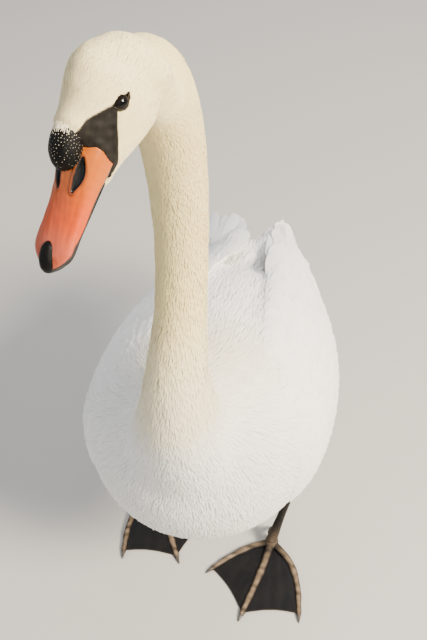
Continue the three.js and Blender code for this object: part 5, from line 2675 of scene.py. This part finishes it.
    def _foot(self) -> Object:
        """The pad, three toes and two webs.

        Returns:
            The object.
        """
        share = np.linspace(0, 1, 31)[:, None]
        angle = ring_angles(40)[None]
        ring = np.sin(np.pi * share)
        x = self.leg.root[0] + 10.5 * ring * np.cos(angle)
        y = self.leg.root[1] + 12.5 * ring * np.sin(angle)
        pad = grid_shape(vec(x, y, np.maximum(0, 9 - 11 * np.cos(np.pi * share))))
        parts = [(pad, np.full(len(pad.verts), 0.25))] + [self._toe(t) for t in Toe]
        parts += [self._web(Toe.INNER, Toe.MIDDLE), self._web(Toe.MIDDLE, Toe.OUTER)]
        shapes, pale = [p[0] for p in parts], np.concatenate([p[1] for p in parts])
        return self._dress(f"foot_{self.leg.side.word}_skin", shapes[0].joined(*shapes[1:]), pale)

    def _claw(self, toe: Toe) -> Object:
        """A blunt curved claw.

        Args:
            toe: Whose claw.

        Returns:
            The object.
        """
        curve = self._path(toe)
        tip, along = curve.point(np.array(1.0)), curve.tangent(np.array(1.0)) * (1, 1, 0)
        along = unit(along)
        side = np.cross([0, 0, 1.0], along)
        share = np.linspace(0, 1, 25)[:, None]
        angle = ring_angles(24)[None]
        size = 3.5 * (1 - share) ** 0.6 * rounding(share, 0.12)
        wide, high = size * 0.82 * np.cos(angle), size * 0.8 * np.sin(angle)
        place = tip * (1, 1, 0) + along * (13 * share[..., None] - 3.4) + side * wide[..., None]
        place[..., 2] = np.maximum(0, 3.2 - 1.8 * share**2 + high)
        name = f"claw_{self.leg.side.word}_{toe.name.lower()}_horn"
        made = mesh_object(name, grid_shape(place), self.horn)
        height = np.clip(shape_of(made.data).verts[:, 2:] / 6, 0, 1)
        paint(made, "Tint", CLAW_DARK + height * CLAW_RISE)
        return made

    def _hind_toe(self) -> Object:
        """The small raised hind toe.

        Returns:
            The object.
        """
        side, turn = self.leg.side.value, math.radians(self.leg.turn)
        back = unit(np.array([side * math.sin(turn) * 0.4, math.cos(turn), 0]))
        start = np.array([self.leg.root[0] - side * 5, self.leg.root[1] + 6, 20.0])
        end = start + back * 24
        end[2] = 5
        mid = start + (end - start) * 0.55
        mid[2] = 14
        rings = tube((start, mid, end), ((3.6, 3.6), (4, 4), (1.7, 1.9)), (32, 50), (4, 3))
        scutes = np.abs(np.sin(np.linspace(0, 30, 51)))[:, None] ** 0.5
        flat = per_vertex(np.broadcast_to(scutes, rings.shape[:2]))
        shape = grid_shape(rings).pushed(0.2 * (flat - 0.6))
        shape.verts[:, 2] = np.maximum(shape.verts[:, 2], 0.2)
        return self._dress(f"hind_toe_{self.leg.side.word}_skin", shape, 0.2 * flat)


# ---- studio


@dataclass
class Stage:
    """Floor, light and camera."""

    eye: Triple = (186, -808, 1181)
    look: Triple = (-0.175, 0.722, -0.669)
    floor: Studio = Studio()
    aim: Triple = (0, 0, 0.45)
    lights: tuple[tuple[str, Triple, float, Triple, float], ...] = (
        ("key", (2.1, -1.0, 2.1), 330, (1.0, 0.88, 0.70), 0.9),
        ("fill", (-2.2, -1.6, 1.9), 20, (0.86, 0.92, 1.0), 2.6),
        ("rear", (0.4, 2.2, 2.4), 50, (1.0, 0.97, 0.93), 2.0),
    )

    def build(self) -> None:
        """Makes everything that isn't the swan."""
        self._floor()
        for light in self.lights:
            self._light(*light)
        world = bpy.data.worlds.new("studio")
        bpy.context.scene.world = world
        world.use_nodes = True
        world.node_tree.nodes["Background"].inputs[0].default_value = (0.93, 0.96, 1.0, 1)
        world.node_tree.nodes["Background"].inputs[1].default_value = 0.82
        camera = linked("camera", bpy.data.cameras.new("camera"))
        camera.data.lens, camera.data.sensor_width = 50, 36
        camera.location = PLACE.row(np.array(self.eye))
        camera.rotation_mode = "QUATERNION"
        camera.rotation_quaternion = Vector(self.look).to_track_quat("-Z", "Y")
        bpy.context.scene.camera = camera

    def _floor(self) -> None:
        """A broad plain floor."""
        mesh = bpy.data.meshes.new("floor")
        mesh.from_pydata([(-9, -9, 0), (9, -9, 0), (9, 9, 0), (-9, 9, 0)], [], [(0, 1, 2, 3)])
        mesh.materials.append(self.floor.material())
        floor = linked("floor", mesh)
        floor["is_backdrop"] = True

    def _light(self, name: str, at: Triple, power: float, colour: Triple, size: float) -> None:
        """A soft light that looks at the middle of the swan.

        Args:
            name: Name of the light.
            at: Where it hangs, in metres.
            power: Its power in watts.
            colour: Its colour.
            size: Width of its face in metres.
        """
        light = bpy.data.lights.new(name, "AREA")
        light.energy, light.color, light.size = power, colour, size
        made = linked(name, light)
        made.location = at
        made.rotation_mode = "QUATERNION"
        made.rotation_quaternion = (Vector(self.aim) - Vector(at)).to_track_quat("-Z", "Y")


# ---- the swan


class Swan:
    """Builds every piece in order and hands it to the frame."""

    def __init__(self) -> None:
        """Makes the finishes."""
        self.small = Plumage("plumage_small").material()
        self.large = Plumage("plumage_large", 0.62, 0.05, 320.0, 0.00025, 0.05).material()
        self.bare = BareSkin("skin_bare", 0.55, 0.0, 1100.0, 0.0005).material()
        blacks = ((0.0012, 0.0012, 0.0013), (0.003, 0.0029, 0.003))
        self.black = BareSkin("skin_black", 0.45, 0.02, 1300.0, 0.0005, blacks).material()
        self.scaled = BareSkin("skin_scaled", 0.55, 0.08, 1000.0, 0.0003).material()
        self.orange = Horn("horn_orange", 0.3, 0.2).material()
        self.claw = Horn("horn_claw", 0.4, 0.2, 0.0).material()
        self.wet = WetEye().material()

    def build(self) -> None:
        """Builds skin, coat, wings, tail, head and legs."""
        skin = Skin()
        body = skin.build()
        bed = Bed(shape_of(body.data), skin.flesh)
        self._skin(skin, body, bed)
        for piece in Coat(bed, self.small).build():
            self._hand(piece, "body_plumage")
        for side in Side:
            wing = WingFeathers(side, skin.flesh.wing, self.large)
            coverts, core, tertials, primaries = wing.build()
            self._hand(coverts, "flight_feathers", f"wing_{side.word}")
            self._hand(core, "flight_feathers")
            self._hand(tertials, "flight_feathers")
            self._hand(primaries, "flight_feathers", f"primaries_{side.word}")
        self._hand(Tail(self.large).build(), "flight_feathers", "tail")
        bill = Bill(self.orange, self.black, self.small)
        for node, piece in bill.build().items():
            self._hand(piece, "orange_bill" if node == "bill_upper" else "black_bill_skin", node)
        self._hand(bill.flecks(), "body_plumage")
        for node, piece in Eyes(self.wet).build().items():
            self._hand(piece, "eyeball", node)
        for leg in LEGS:
            for node, piece in LegBuilder(leg, self.scaled, self.claw).build().items():
                self._hand(piece, "claw_horn" if node.startswith("claw") else "leg_skin", node)

    def _skin(self, skin: Skin, body: Object, bed: Bed) -> None:
        """Paints the skin and joins the lids to it.

        Args:
            skin: The skin's maker.
            body: The skin's object.
            bed: The skin as the feathers' bed.
        """
        lids = mesh_object("lids", skin.lids())
        bare = bed.regions.bare()[:, None]
        cloud = 0.25 * ripple(bed.regions.head_at, 9, 6)[:, None]
        paint(body, "Tint", mixed(bed.regions.tint(), BARE_BLACK * (1 + cloud), bare))
        points = shape_of(lids.data).verts
        local = [eye.local(points) for eye in EYES]
        near = np.minimum(*[eye.reach(at) for eye, at in zip(EYES, local)])
        low = np.minimum(*[np.where(at[:, 2] > 0, at[:, 1], 9) for at in local])
        ring = (ramp(0.97, 0.99, near) * ramp(1.09, 1.05, near) * ramp(1.5, 0.2, low))[:, None]
        outer = ramp(1.42, 1.5, near)[:, None]
        paint(lids, "Tint", mixed(mixed(RIM_BLACK, RIM_PALE, ring), LID_DOWN, outer))
        for obj in (body, lids):
            obj.data.materials.clear()
            obj.data.materials.append(self.bare)
        with edited(body.data) as mesh:
            mesh.from_mesh(lids.data)
        drop(lids)
        body.data.polygons.foreach_set("use_smooth", np.full(len(body.data.polygons), True))
        uv_layer(body, "OFBake", Regions(shape_of(body.data).verts, skin.flesh).unwrap())
        LOG.info("skin: %d faces", len(body.data.polygons))
        necks = ("neck_lower", "neck_middle", "neck_upper")
        self._hand(body, "body_plumage", "trunk", *necks, "head", "thigh_left", "thigh_right")

    @staticmethod
    def _hand(piece: Object, slot: str, *nodes: str) -> None:
        """Sets a piece on the body and hides the solids it stands for.

        Args:
            piece: The finished object.
            slot: The material slot it shows; not used.
            nodes: The solids it stands for.
        """
        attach(piece, "root")
        if nodes:
            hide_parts(*nodes)
        LOG.info("%s: %d faces", piece.name, len(piece.data.polygons))


def main() -> None:
    """Builds the swan and the stage."""
    logging.basicConfig(level=logging.INFO, format="%(name)s %(message)s")
    Swan().build()
    Stage().build()
    boxes = {name: [list(corner) for corner in box] for name, box in (("cad", CAD_BOX), ("visual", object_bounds()))}


if __name__ == "__main__":
    main()
